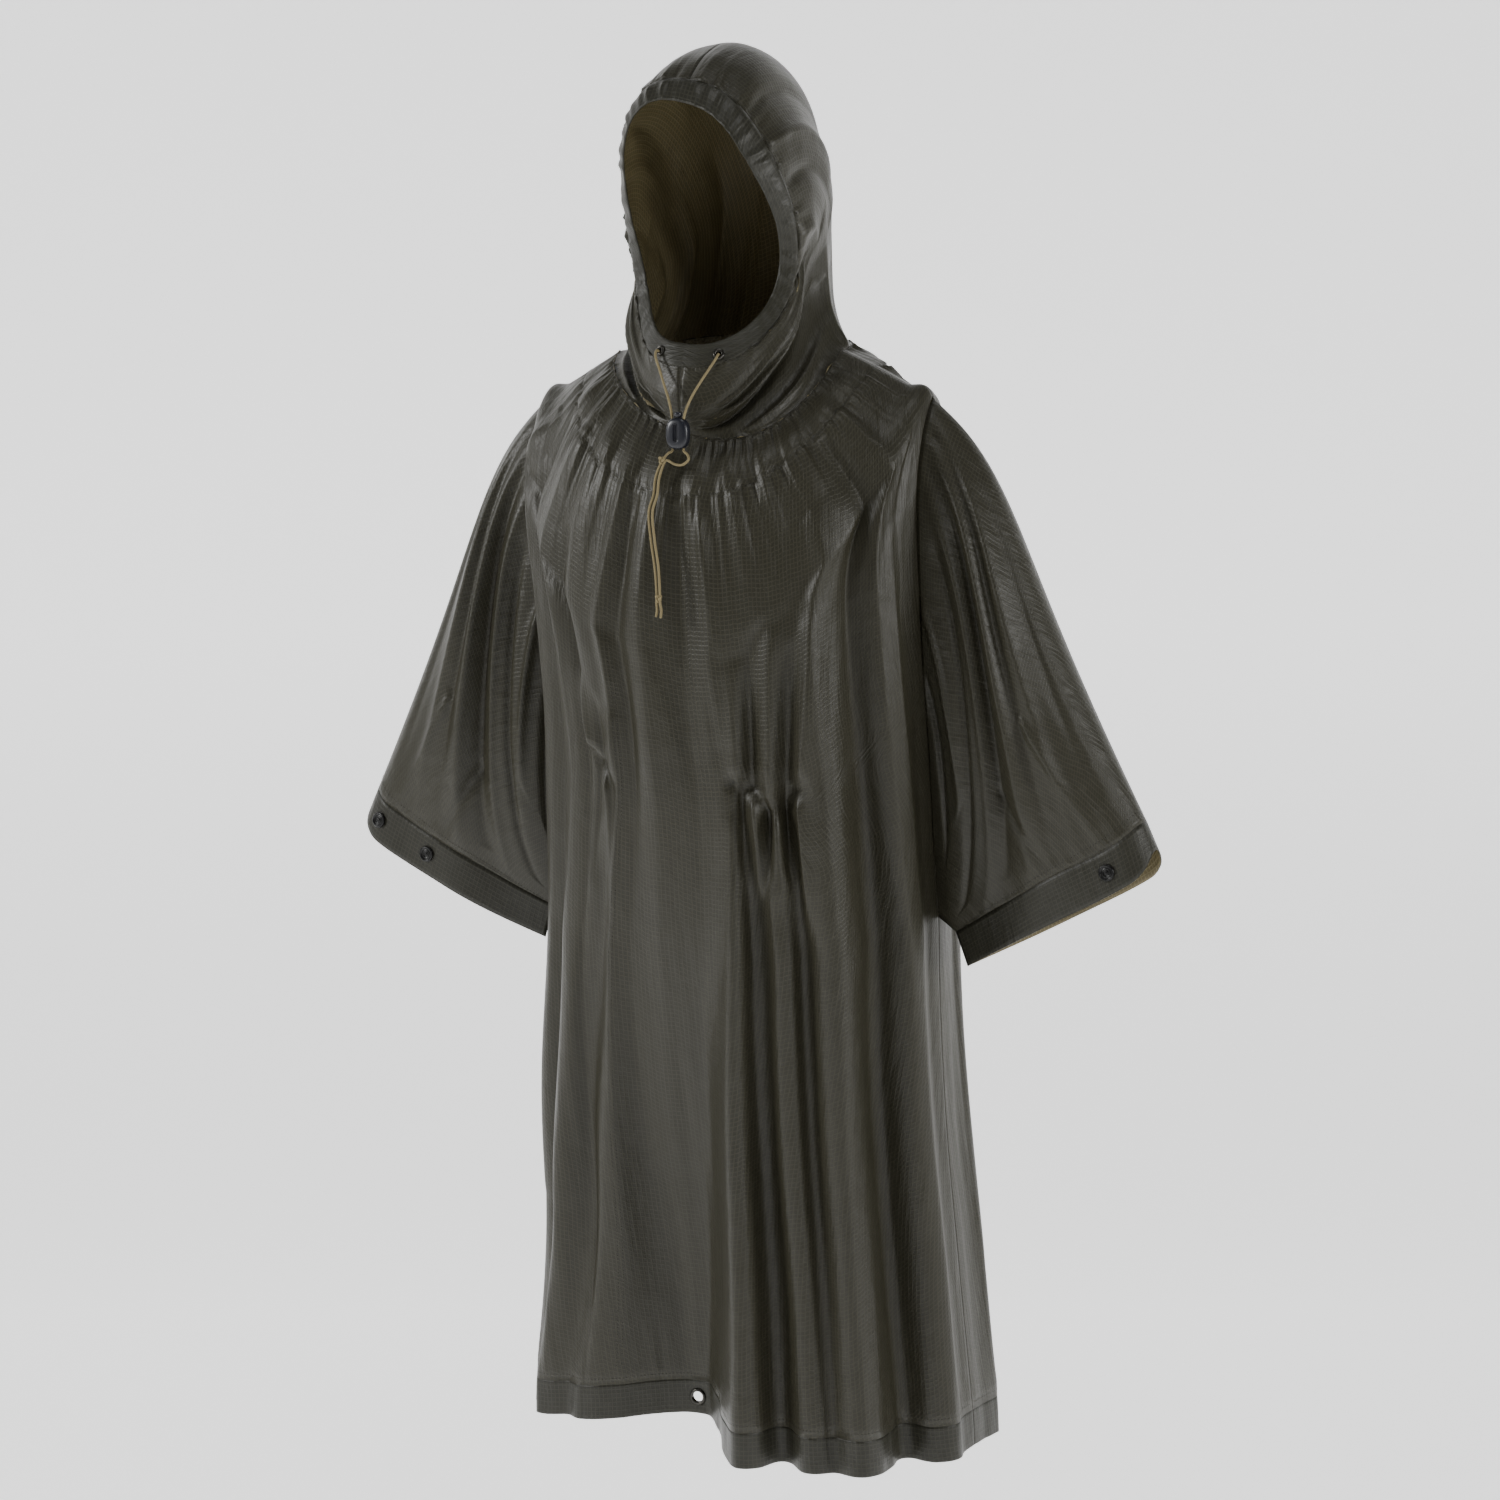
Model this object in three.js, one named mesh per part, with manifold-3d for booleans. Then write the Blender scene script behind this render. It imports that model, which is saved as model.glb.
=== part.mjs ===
// Hooded rain poncho, hanging as it is worn, hollow and open at face, cuffs and hem.
// Millimetres, +Z up, the front faces -Y and the wearer's left is +X.
// The origin is the middle of the neck at the level of the shoulders.
import * as THREE from 'three';
import { mergeVertices } from 'three/addons/utils/BufferGeometryUtils.js';
import Module from 'manifold-3d';

const wasm = await Module();
wasm.setup();

// Turns a table's rows of numbers into rows with the names of its columns
function namedRows(columns, rows) {
  return rows.map((row) => Object.fromEntries(row.map((value, index) => [columns[index], value])));
}

// Cloth walls and seams
const clothWall = 1.2;
const hemWall = 1.9;
const tunnelWall = 2.6;
const seamPull = 0.25;
const sideSeamPull = 0.4;
const armSeamPull = 0.8;
const neckSeamPull = 0.45;
const faceSeamPull = 0.8;

// Levels of the body's sections: neck seam, shoulder point, underarm, hem stitch and hem edge
const neckLevel = 0;
const shoulderLevel = 1;
const underarmLevel = 2;
const hemStitchLevel = 3;
const hemEdgeLevel = 3.1;

// Body sections from the neck seam to the hem edge. Each ring has its own height at front, side and back.
const bodySections = namedRows(
  ['at', 'centreX', 'halfWidth', 'frontY', 'sideY', 'backY', 'frontZ', 'sideZ', 'backZ', 'tilt'],
  [
    [0.0, 0, 119, -112, -2, 94, -80, 0, 18, -0.3],
    [0.33, -2, 150, -138, 3, 122, -134, -14, -22, -0.15],
    [0.66, -4, 186, -147, 8, 142, -205, -32, -92, -0.03],
    [1.0, -3, 215, -147, 10, 156, -290, -48, -180, 0],
    [1.33, 4, 214, -140, 14, 168, -372, -170, -290, 0],
    [1.66, 9, 211, -130, 22, 181, -465, -330, -410, 0],
    [2.0, 3, 207, -121, 32, 192, -600, -560, -590, 0],
    [2.35, -3, 215, -108, 44, 206, -765, -745, -760, -0.01],
    [2.7, -1, 225, -102, 54, 218, -925, -915, -925, -0.04],
    [3.0, -2, 239, -100, 60, 226, -1064, -1061, -1062, -0.05],
    [3.1, -2, 241, -99, 61, 227, -1100, -1097, -1098, -0.05],
  ],
);

// How square the body's sections are, and how its shoulder ridge is rounded
const sectionPower = 0.92;
const ridgePower = 1.25;

// Gathers that run out of the neck seam: place across, width, height, and the level where they fade out
const frontGathers = [
  { across: -0.86, width: 0.07, height: 5, reach: 0.9 },
  { across: -0.66, width: 0.06, height: 7, reach: 1.2 },
  { across: -0.49, width: 0.05, height: 6, reach: 0.8 },
  { across: -0.34, width: 0.06, height: 8, reach: 1.5 },
  { across: -0.18, width: 0.05, height: 5, reach: 0.7 },
  { across: -0.04, width: 0.06, height: 7, reach: 1.1 },
  { across: 0.11, width: 0.05, height: 6, reach: 0.9 },
  { across: 0.25, width: 0.06, height: 8, reach: 1.4 },
  { across: 0.4, width: 0.05, height: 6, reach: 0.8 },
  { across: 0.54, width: 0.06, height: 8, reach: 1.3 },
  { across: 0.7, width: 0.06, height: 7, reach: 1.1 },
  { across: 0.87, width: 0.06, height: 5, reach: 0.9 },
];
const backGathers = [
  { across: -0.84, width: 0.08, height: 5, reach: 0.9 },
  { across: -0.6, width: 0.07, height: 7, reach: 1.2 },
  { across: -0.37, width: 0.07, height: 6, reach: 1.0 },
  { across: -0.12, width: 0.07, height: 8, reach: 1.4 },
  { across: 0.14, width: 0.07, height: 6, reach: 0.9 },
  { across: 0.36, width: 0.07, height: 8, reach: 1.3 },
  { across: 0.61, width: 0.07, height: 6, reach: 1.0 },
  { across: 0.85, width: 0.08, height: 5, reach: 1.1 },
];

// Long folds of the front: places across at the top and the hem, widths towards the wearer's right
// and left, the height at the hem (minus for a trough), and the levels where a fold starts and is full
const frontFolds = [
  { top: 0.1, bottom: -0.073, right: 0.3, left: 0.13, height: -92, from: 1.55, full: 3.1 },
  { top: 0.18, bottom: 0.13, right: 0.07, left: 0.07, height: 15, from: 1.3, full: 2.5 },
  { top: 0.235, bottom: 0.25, right: 0.06, left: 0.07, height: -17, from: 1.3, full: 2.8 },
  { top: 0.31, bottom: 0.34, right: 0.06, left: 0.05, height: 8, from: 1.4, full: 2.6 },
  { top: 0.39, bottom: 0.4, right: 0.05, left: 0.05, height: -9, from: 1.2, full: 2.4 },
  { top: 0.5, bottom: 0.47, right: 0.09, left: 0.09, height: 19, from: 0.9, full: 2.9 },
  { top: 0.63, bottom: 0.67, right: 0.08, left: 0.08, height: -22, from: 0.9, full: 2.9 },
  { top: 0.78, bottom: 0.83, right: 0.08, left: 0.07, height: 13, from: 0.9, full: 2.9 },
  { top: -0.05, bottom: -0.42, right: 0.08, left: 0.08, height: 9, from: 0.9, full: 2.6 },
  { top: -0.15, bottom: -0.52, right: 0.06, left: 0.06, height: -9, from: 1.0, full: 2.6 },
  { top: -0.22, bottom: -0.62, right: 0.07, left: 0.07, height: 11, from: 1.0, full: 2.8 },
  { top: -0.45, bottom: -0.73, right: 0.07, left: 0.06, height: -10, from: 1.0, full: 2.8 },
  { top: -0.66, bottom: -0.85, right: 0.08, left: 0.07, height: 9, from: 1.0, full: 2.8 },
];
const backFolds = [
  { top: -0.78, bottom: -0.84, right: 0.09, left: 0.08, height: 14, from: 1.0, full: 2.8 },
  { top: -0.62, bottom: -0.66, right: 0.08, left: 0.09, height: -24, from: 1.0, full: 3.0 },
  { top: -0.45, bottom: -0.46, right: 0.1, left: 0.1, height: 22, from: 0.8, full: 2.9 },
  { top: -0.26, bottom: -0.24, right: 0.09, left: 0.1, height: -30, from: 0.9, full: 3.0 },
  { top: -0.06, bottom: -0.02, right: 0.1, left: 0.09, height: 20, from: 0.8, full: 2.8 },
  { top: 0.13, bottom: 0.2, right: 0.08, left: 0.09, height: -26, from: 1.0, full: 3.0 },
  { top: 0.33, bottom: 0.41, right: 0.1, left: 0.1, height: 24, from: 0.8, full: 2.9 },
  { top: 0.54, bottom: 0.61, right: 0.09, left: 0.08, height: -22, from: 1.0, full: 3.0 },
  { top: 0.77, bottom: 0.81, right: 0.09, left: 0.09, height: 15, from: 0.9, full: 2.8 },
];

// A deep trough draws the hem up by this share of its depth
const hemLift = 0.16;

// Rows and columns of the walls
const yokeRows = 5;
const armRows = 9;
const skirtRows = 6;
const frontColumns = 60;
const backColumns = 36;

// The armhole opens between the front and the back panel, half its width each way
const armholeHalfGap = 40;
const armRowPower = 1.25;
const topRounding = 0.22;
const bottomClosing = 0.5;

// Sleeves: the stitch line and the edge of the cuff hem, from the ridge down to the underarm
const cuffStitch = [
  { at: 0.0, x: 431, y: 26, z: -454 },
  { at: 0.15, x: 409, y: 28, z: -474 },
  { at: 0.5, x: 336, y: 32, z: -514 },
  { at: 1.0, x: 228, y: 34, z: -574 },
];
const cuffEdge = [
  { at: 0.0, x: 443, y: 26, z: -480 },
  { at: 0.06, x: 439, y: 28, z: -497 },
  { at: 0.15, x: 424, y: 29, z: -513 },
  { at: 0.5, x: 343, y: 32, z: -556 },
  { at: 1.0, x: 240, y: 36, z: -608 },
];
const sleeveRows = 8;
const ridgeBulge = 30;
const ridgeBulgeAt = 0.25;
const sleeveFullness = 52;
const cuffHalfGap = 30;

// Folds of the sleeves fan out from the shoulder to a place along the cuff
const sleeveFolds = [
  { cuffAt: 0.22, width: 0.12, height: -7 },
  { cuffAt: 0.46, width: 0.14, height: 10 },
  { cuffAt: 0.72, width: 0.13, height: -11 },
];

// Hood sections from the face opening back to the neck seam: the near point is under the chin, the far
// point goes over the forehead, the crown and down the back of the head. The opening's sides lie further
// back than its chin and brow, most of all low down, and it leans a little to the wearer's right.
const hoodSections = namedRows(
  [
    'at', 'nearY', 'nearZ', 'farY', 'farZ', 'halfWidth', 'sideY', 'sideZ', 'chinTilt', 'lowY', 'browTilt',
    'power',
  ],
  [
    [0.0, -106, 6, -112, 238, 79, 41, 0, -0.1, 60, -0.25, 0.76],
    [0.1, -114, -16, -96, 261, 94, 53, -2, -0.1, 52, -0.17, 0.8],
    [0.22, -117, -28, -60, 288, 98, 56, -3, -0.03, 34, -0.07, 0.86],
    [0.36, -118, -42, -8, 302, 97, 44, -4, -0.08, 16, -0.01, 0.9],
    [0.5, -118, -53, 52, 285, 95, 28, -4, -0.13, 2, 0, 0.92],
    [0.64, -117, -62, 99, 232, 89, 16, 0, -0.18, 0, 0, 0.92],
    [0.77, -116, -69, 114, 162, 85, 12, 8, -0.22, 0, 0, 0.92],
    [0.89, -114, -75, 101, 86, 86, 12, 16, -0.26, 0, 0, 0.92],
    [1.0, -112, -80, 94, 18, 119, 7, 31, -0.3, 0, 0, 0.92],
  ],
);
const neckSettleFrom = 0.74;
const faceHemLevel = 0.1;
const hoodRows = 11;
const hoodColumns = 20;
const faceHemColumns = 4 * hoodColumns;

// Puckers of the hood's drawn hem and soft folds of its sides
const puckerCount = 20;
const puckerHeight = 1.6;
const tunnelBulge = 1.5;
const plainChin = 0.15;
const hoodFolds = [
  { around: 0.28, turn: 0.06, width: 0.07, height: 5 },
  { around: 0.42, turn: 0.1, width: 0.07, height: -5 },
  { around: 0.58, turn: 0.05, width: 0.08, height: 5 },
  { around: 0.75, turn: -0.06, width: 0.08, height: -4 },
];

// Metal and plastic fittings
const eyeletOuterRadius = 5.5;
const eyeletHoleRadius = 2.6;
const hemEyeletOuterRadius = 8.5;
const hemEyeletHoleRadius = 5.6;
const eyeletThickness = 1.4;
const snapRadius = 8.2;
const snapThickness = 2.4;
const fittingClearance = 0.3;

const snapSeat = 0.5;
const snapSides = 14;
const hemEyeletSeat = 1.3;
const hemEyeletAcross = -0.105;
const hemEyeletLevel = 3.05;
const chinEyelets = [
  { name: 'chin_eyelet_left', side: 1, turn: 0.095 },
  { name: 'chin_eyelet_right', side: -1, turn: 0.072 },
];
const cuffSnaps = [
  { name: 'cuff_snap_left_front', side: 1, isFront: true, around: 0.22 },
  { name: 'cuff_snap_left_back', side: 1, isFront: false, around: 0.22 },
  { name: 'cuff_snap_right_tip_front', side: -1, isFront: true, around: 0.13 },
  { name: 'cuff_snap_right_tip_back', side: -1, isFront: false, around: 0.13 },
  { name: 'cuff_snap_right_low_front', side: -1, isFront: true, around: 0.4 },
  { name: 'cuff_snap_right_low_back', side: -1, isFront: false, around: 0.4 },
];

// Cord lock
const lockWidth = 24;
const lockHeight = 31;
const lockDepth = 12;
const lockCorner = 9;
const lockBevel = 2;
const lockButtonRadius = 3.8;
const lockButtonHeight = 5;
const lockCentre = { x: 8.5, y: -138, z: -81 };

// Drawcord: its runs between eyelets, lock and knots, as points of a smooth path
const cordRadius = 1.25;
const cordSides = 8;
const cordStep = 7;
const cordRuns = [
  {
    name: 'cord_left_upper',
    points: [
      [35, -104.2, -5.1], [36.4, -107.4, -4.8], [36.3, -112, -9], [31.5, -120, -21],
      [26, -128, -34], [20, -134, -48], [15, -138, -65.4],
    ],
  },
  {
    name: 'cord_right_upper',
    points: [
      [-28.3, -108, -1.4], [-29.2, -111.1, -1], [-28.2, -115.5, -5.5], [-20, -122, -20],
      [-12, -128, -34], [-4, -134, -48], [2, -138, -65.4],
    ],
  },
  {
    name: 'cord_left_loop',
    points: [
      [14.5, -138, -97.1], [20, -141, -101], [23, -144, -106], [17, -146, -111], [9, -146, -110.5],
      [0.1, -146.6, -106.8],
    ],
  },
  {
    name: 'cord_right_short',
    points: [[2.5, -138, -97.2], [0, -142, -100], [-1.9, -144.3, -102.9]],
  },
  {
    name: 'cord_left_tail',
    points: [
      [-3, -147, -111.6], [-6, -150, -124], [-6, -154, -140], [-9, -158, -156], [-5, -161, -185],
      [0, -163, -210], [2, -164, -234.5],
    ],
  },
  {
    name: 'cord_right_tail',
    points: [
      [-6.3, -147, -111.2], [-10, -150, -124], [-10, -154, -140], [-13, -158, -156], [-9, -161, -185],
      [-4, -163, -210], [-1.5, -164, -234.5],
    ],
  },
  {
    name: 'cord_left_end',
    points: [[2.3, -164, -244.3], [3.5, -164, -251], [3, -164, -258]],
  },
  {
    name: 'cord_right_end',
    points: [[-1.5, -164, -244.5], [-1, -164, -251], [-2, -164, -257]],
  },
];
const upperKnot = [-4.5, -147, -106.5];
const lowerKnot = [0.5, -164, -239.5];
const knotHalfWidth = 4.2;
const knotHalfHeight = 4.6;

const clothOlive = 0x42403a;
const hemOlive = 0x3d3b35;
const cordKhaki = 0x96824f;
const lockNavy = 0x14161c;
const snapBlack = 0x1d1d1d;

function clamp01(value) {
  return Math.min(Math.max(value, 0), 1);
}

function smooth(value) {
  const t = clamp01(value);
  return t * t * (3 - 2 * t);
}

function roundEnd(value) {
  const t = 1 - clamp01(value);
  return Math.sqrt(1 - t * t);
}

function slopeAt(table, index, key) {
  const before = table[Math.max(index - 1, 0)];
  const after = table[Math.min(index + 1, table.length - 1)];
  return (after[key] - before[key]) / (after.at - before.at);
}

// One row of a table at any level, on a smooth cubic through its rows
function readRow(table, at) {
  let index = 0;
  while (index < table.length - 2 && at > table[index + 1].at) {
    index += 1;
  }
  const first = table[index];
  const second = table[index + 1];
  const span = second.at - first.at;
  const t = (at - first.at) / span;
  const row = {};
  for (const key of Object.keys(first)) {
    const startSlope = slopeAt(table, index, key) * span;
    const endSlope = slopeAt(table, index + 1, key) * span;
    const rise = second[key] - first[key];
    const bend = startSlope + endSlope - 2 * rise;
    const lift = rise - startSlope - bend;
    row[key] = first[key] + t * (startSlope + t * (lift + t * bend));
  }
  return row;
}

// Half the armhole's width, from the shoulder (0) to the underarm (1)
function gapProfile(p) {
  return roundEnd(p / topRounding) * Math.sin(clamp01((1 - p) / bottomClosing) * Math.PI / 2);
}

// A point of the body without folds: across runs from the wearer's right side (-1) to the left (+1)
function bodyBase(isFront, across, level) {
  const row = readRow(bodySections, level);
  const opening = armholeHalfGap * gapProfile(clamp01(level - shoulderLevel));
  const depth = (isFront ? row.frontY : row.backY) - row.sideY;
  const turn = Math.acos((opening / Math.abs(depth)) ** (1 / sectionPower));
  const angle = Math.min(Math.abs(across), 1) * turn;
  const sine = Math.sin(angle) ** sectionPower;
  const cosine = Math.max(Math.cos(angle), 0) ** sectionPower;
  const drop = Math.max(Math.cos(angle), 0) ** ridgePower;
  const fall = (isFront ? row.frontZ : row.backZ) - row.sideZ;
  const x = row.centreX + Math.sign(across) * row.halfWidth * sine;
  const lean = isFront ? row.tilt * x * cosine : 0;
  return new THREE.Vector3(x, row.sideY + depth * cosine, row.sideZ + fall * drop + lean);
}

function bodyNormal(isFront, across, level) {
  const step = 0.01;
  const a = Math.min(Math.max(across, -0.98), 0.98);
  const l = Math.max(level, 0.02);
  const alongAcross = bodyBase(isFront, a + step, l).sub(bodyBase(isFront, a - step, l));
  const alongLevel = bodyBase(isFront, a, l + step).sub(bodyBase(isFront, a, l - step));
  const normal = alongLevel.cross(alongAcross).normalize();
  return isFront ? normal : normal.negate();
}

function foldHeight(folds, gathers, across, level) {
  let height = 0;
  for (const fold of folds) {
    const centre = fold.top + (fold.bottom - fold.top) * clamp01((level - shoulderLevel) / 2);
    const width = across < centre ? fold.right : fold.left;
    const grown = smooth((level - fold.from) / (fold.full - fold.from));
    height += fold.height * grown * Math.exp(-(((across - centre) / width) ** 2));
  }
  for (const gather of gathers) {
    const rise = smooth(level / 0.3);
    const fade = 1 - smooth((level - 0.3) / (gather.reach - 0.3));
    const spread = gather.width * (1 + 0.3 * level);
    height += gather.height * rise * fade * Math.exp(-(((across - gather.across) / spread) ** 2));
  }
  return height * (1 - Math.abs(across) ** 8);
}

function bodyPoint(isFront, across, level) {
  const folds = isFront ? frontFolds : backFolds;
  const gathers = isFront ? frontGathers : backGathers;
  const height = foldHeight(folds, gathers, across, level);
  const point = bodyBase(isFront, across, level);
  point.z += hemLift * Math.max(-height, 0) * smooth(level - underarmLevel);
  return point.addScaledVector(bodyNormal(isFront, across, level), height);
}

// Levels of the rows, with the armhole's rows shared by the panels and the sleeves
function bodyLevels() {
  const levels = [];
  for (let i = 0; i < yokeRows; i += 1) {
    levels.push(neckLevel + i / yokeRows);
  }
  for (let i = 0; i < armRows; i += 1) {
    levels.push(shoulderLevel + (i / armRows) ** armRowPower);
  }
  for (let i = 0; i <= skirtRows; i += 1) {
    levels.push(underarmLevel + (hemStitchLevel - underarmLevel) * i / skirtRows);
  }
  return levels;
}

function panelGrid(isFront, levels) {
  const columns = isFront ? frontColumns : backColumns;
  return levels.map((level) => {
    const row = [];
    for (let i = 0; i <= columns; i += 1) {
      row.push(bodyPoint(isFront, -1 + 2 * i / columns, level));
    }
    return row;
  });
}

// A sleeve point: along is 0 at the armhole and 1 at the cuff's stitch line,
// around is 0 at the ridge and 1 at the underarm
function sleevePoint(side, isFront, around, along) {
  const start = bodyPoint(isFront, side, shoulderLevel + around);
  const stitch = readRow(cuffStitch, around);
  const facing = isFront ? -1 : 1;
  const endY = stitch.y + facing * cuffHalfGap * gapProfile(around);
  const end = new THREE.Vector3(side * stitch.x, endY, stitch.z);
  const point = start.lerp(end, along);
  const bulge = ridgeBulge * (along / ridgeBulgeAt) * Math.exp(1 - along / ridgeBulgeAt);
  point.x += side * bulge * (1 - around) ** 2 * (1 - along);
  const fullness = (sleeveFullness - armholeHalfGap) * Math.sin(Math.PI * along);
  let out = fullness * gapProfile(around);
  for (const fold of sleeveFolds) {
    const centre = fold.cuffAt * along ** 0.7;
    const spread = Math.exp(-(((around - centre) / fold.width) ** 2));
    out += fold.height * smooth(along * 1.4) * spread * gapProfile(around) * (1 - 0.7 * along * along);
  }
  point.y += facing * out;
  return point;
}

function aroundSleeve(build) {
  const ring = [];
  for (let i = 0; i < armRows; i += 1) {
    ring.push(build(true, (i / armRows) ** armRowPower));
  }
  for (let i = armRows; i > 0; i -= 1) {
    ring.push(build(false, (i / armRows) ** armRowPower));
  }
  return ring;
}

function sleeveGrid(side) {
  const grid = [];
  for (let j = 0; j <= sleeveRows; j += 1) {
    grid.push(aroundSleeve((isFront, around) => sleevePoint(side, isFront, around, j / sleeveRows)));
  }
  return grid;
}

function cuffPoint(side, isFront, around, along) {
  const start = sleevePoint(side, isFront, around, 1);
  const edge = readRow(cuffEdge, around);
  const facing = isFront ? -1 : 1;
  const endY = edge.y + facing * cuffHalfGap * gapProfile(around);
  const end = new THREE.Vector3(side * edge.x, endY, edge.z);
  return start.lerp(end, along);
}

function cuffGrid(side) {
  return [0, 1].map((along) => aroundSleeve((isFront, around) => cuffPoint(side, isFront, around, along)));
}

// A hood point: turn runs from under the chin (0) over the side to the far point (1)
function hoodPoint(side, turn, level) {
  const row = readRow(hoodSections, level);
  const angle = turn * Math.PI;
  const sine = Math.sin(angle);
  const cosine = Math.cos(angle);
  const x = side * row.halfWidth * Math.max(sine, 0) ** row.power;
  const middleY = (row.nearY + row.farY) / 2;
  const middleZ = (row.nearZ + row.farZ) / 2;
  const recess = (row.sideY + row.lowY * cosine) * sine * sine;
  const y = middleY + (row.farY - row.nearY) / 2 * -cosine + recess;
  const lean = row.chinTilt * x * Math.max(cosine, 0) + row.browTilt * x * Math.max(-cosine, 0);
  const z = middleZ + (row.farZ - row.nearZ) / 2 * -cosine + row.sideZ * sine * sine + lean;
  return new THREE.Vector3(x, y, z);
}

// The neck seam is the body's own first ring, and the hood closes in on it
function neckSeamPoint(side, turn) {
  const isFront = turn <= 0.5;
  const across = isFront ? turn * 2 : (1 - turn) * 2;
  return bodyBase(isFront, side * across, neckLevel);
}

function hoodSurface(side, turn, level) {
  const point = hoodPoint(side, turn, level);
  const settle = smooth((level - neckSettleFrom) / (1 - neckSettleFrom));
  point.lerp(neckSeamPoint(side, turn), settle);
  const middle = new THREE.Vector3(0, -10, Math.min(point.z, 110));
  const outward = point.clone().sub(middle).normalize();
  let height = 0;
  for (const fold of hoodFolds) {
    const centre = fold.around + fold.turn * level;
    height += fold.height * Math.exp(-(((turn - centre) / fold.width) ** 2));
  }
  return point.addScaledVector(outward, height * Math.sin(Math.PI * clamp01((level - 0.1) / 0.9)));
}

function hoodGrid(side) {
  const grid = [];
  for (let j = 0; j <= hoodRows; j += 1) {
    const level = faceHemLevel + (1 - faceHemLevel) * j / hoodRows;
    const row = [];
    for (let i = 0; i <= hoodColumns; i += 1) {
      row.push(hoodSurface(side, i / hoodColumns, level));
    }
    grid.push(row);
  }
  return grid;
}

// The drawn hem round the face: a soft tunnel with puckers, fullest along its middle and plain
// beside the chin's eyelets
function faceHemPoint(side, turn, t) {
  const point = hoodSurface(side, turn, faceHemLevel * t);
  const middle = new THREE.Vector3(0, point.y + 40, Math.min(Math.max(point.z, 60), 200));
  const outward = point.clone().sub(middle).normalize();
  const plain = smooth((turn - plainChin) / plainChin);
  const pucker = puckerHeight * plain * Math.cos(Math.PI * puckerCount * turn);
  return point.addScaledVector(outward, (pucker + tunnelBulge) * Math.sin(Math.PI * t));
}

function faceHemGrid() {
  const rows = [0, 0.5, 1];
  const grid = rows.map((t) => {
    const row = [];
    for (let i = 0; i < faceHemColumns; i += 1) {
      const whole = 2 * i / faceHemColumns;
      const side = whole <= 1 ? 1 : -1;
      row.push(faceHemPoint(side, whole <= 1 ? whole : 2 - whole, t));
    }
    return row;
  });
  const seam = grid[rows.length - 1];
  for (let i = 1; i < faceHemColumns; i += 2) {
    seam[i].copy(seam[i - 1]).add(seam[(i + 1) % faceHemColumns]).multiplyScalar(0.5);
  }
  return grid;
}

function keyOf(point) {
  return `${point.x.toFixed(2)} ${point.y.toFixed(2)} ${point.z.toFixed(2)}`;
}

// Normals shared by all the pieces, so that two walls meet in one mitred plane at a seam
function shareNormals(pieces) {
  const sums = new Map();
  for (const piece of pieces) {
    const { grid, wrap, flip } = piece;
    const columns = grid[0].length;
    for (let j = 0; j < grid.length - 1; j += 1) {
      for (let i = 0; i < (wrap ? columns : columns - 1); i += 1) {
        const next = (i + 1) % columns;
        const corners = [grid[j][i], grid[j + 1][i], grid[j + 1][next], grid[j][next]];
        const diagonalA = corners[2].clone().sub(corners[0]);
        const diagonalB = corners[3].clone().sub(corners[1]);
        const face = diagonalA.cross(diagonalB);
        if (flip) {
          face.negate();
        }
        for (const corner of corners) {
          const key = keyOf(corner);
          const sum = sums.get(key) ?? new THREE.Vector3();
          sums.set(key, sum.add(face));
        }
      }
    }
  }
  return (point) => sums.get(keyOf(point)).clone().normalize();
}

function pullFrom(grid, j, i, dj, di, amount) {
  return grid[j + dj][i + di].clone().sub(grid[j][i]).setLength(amount);
}

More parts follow.
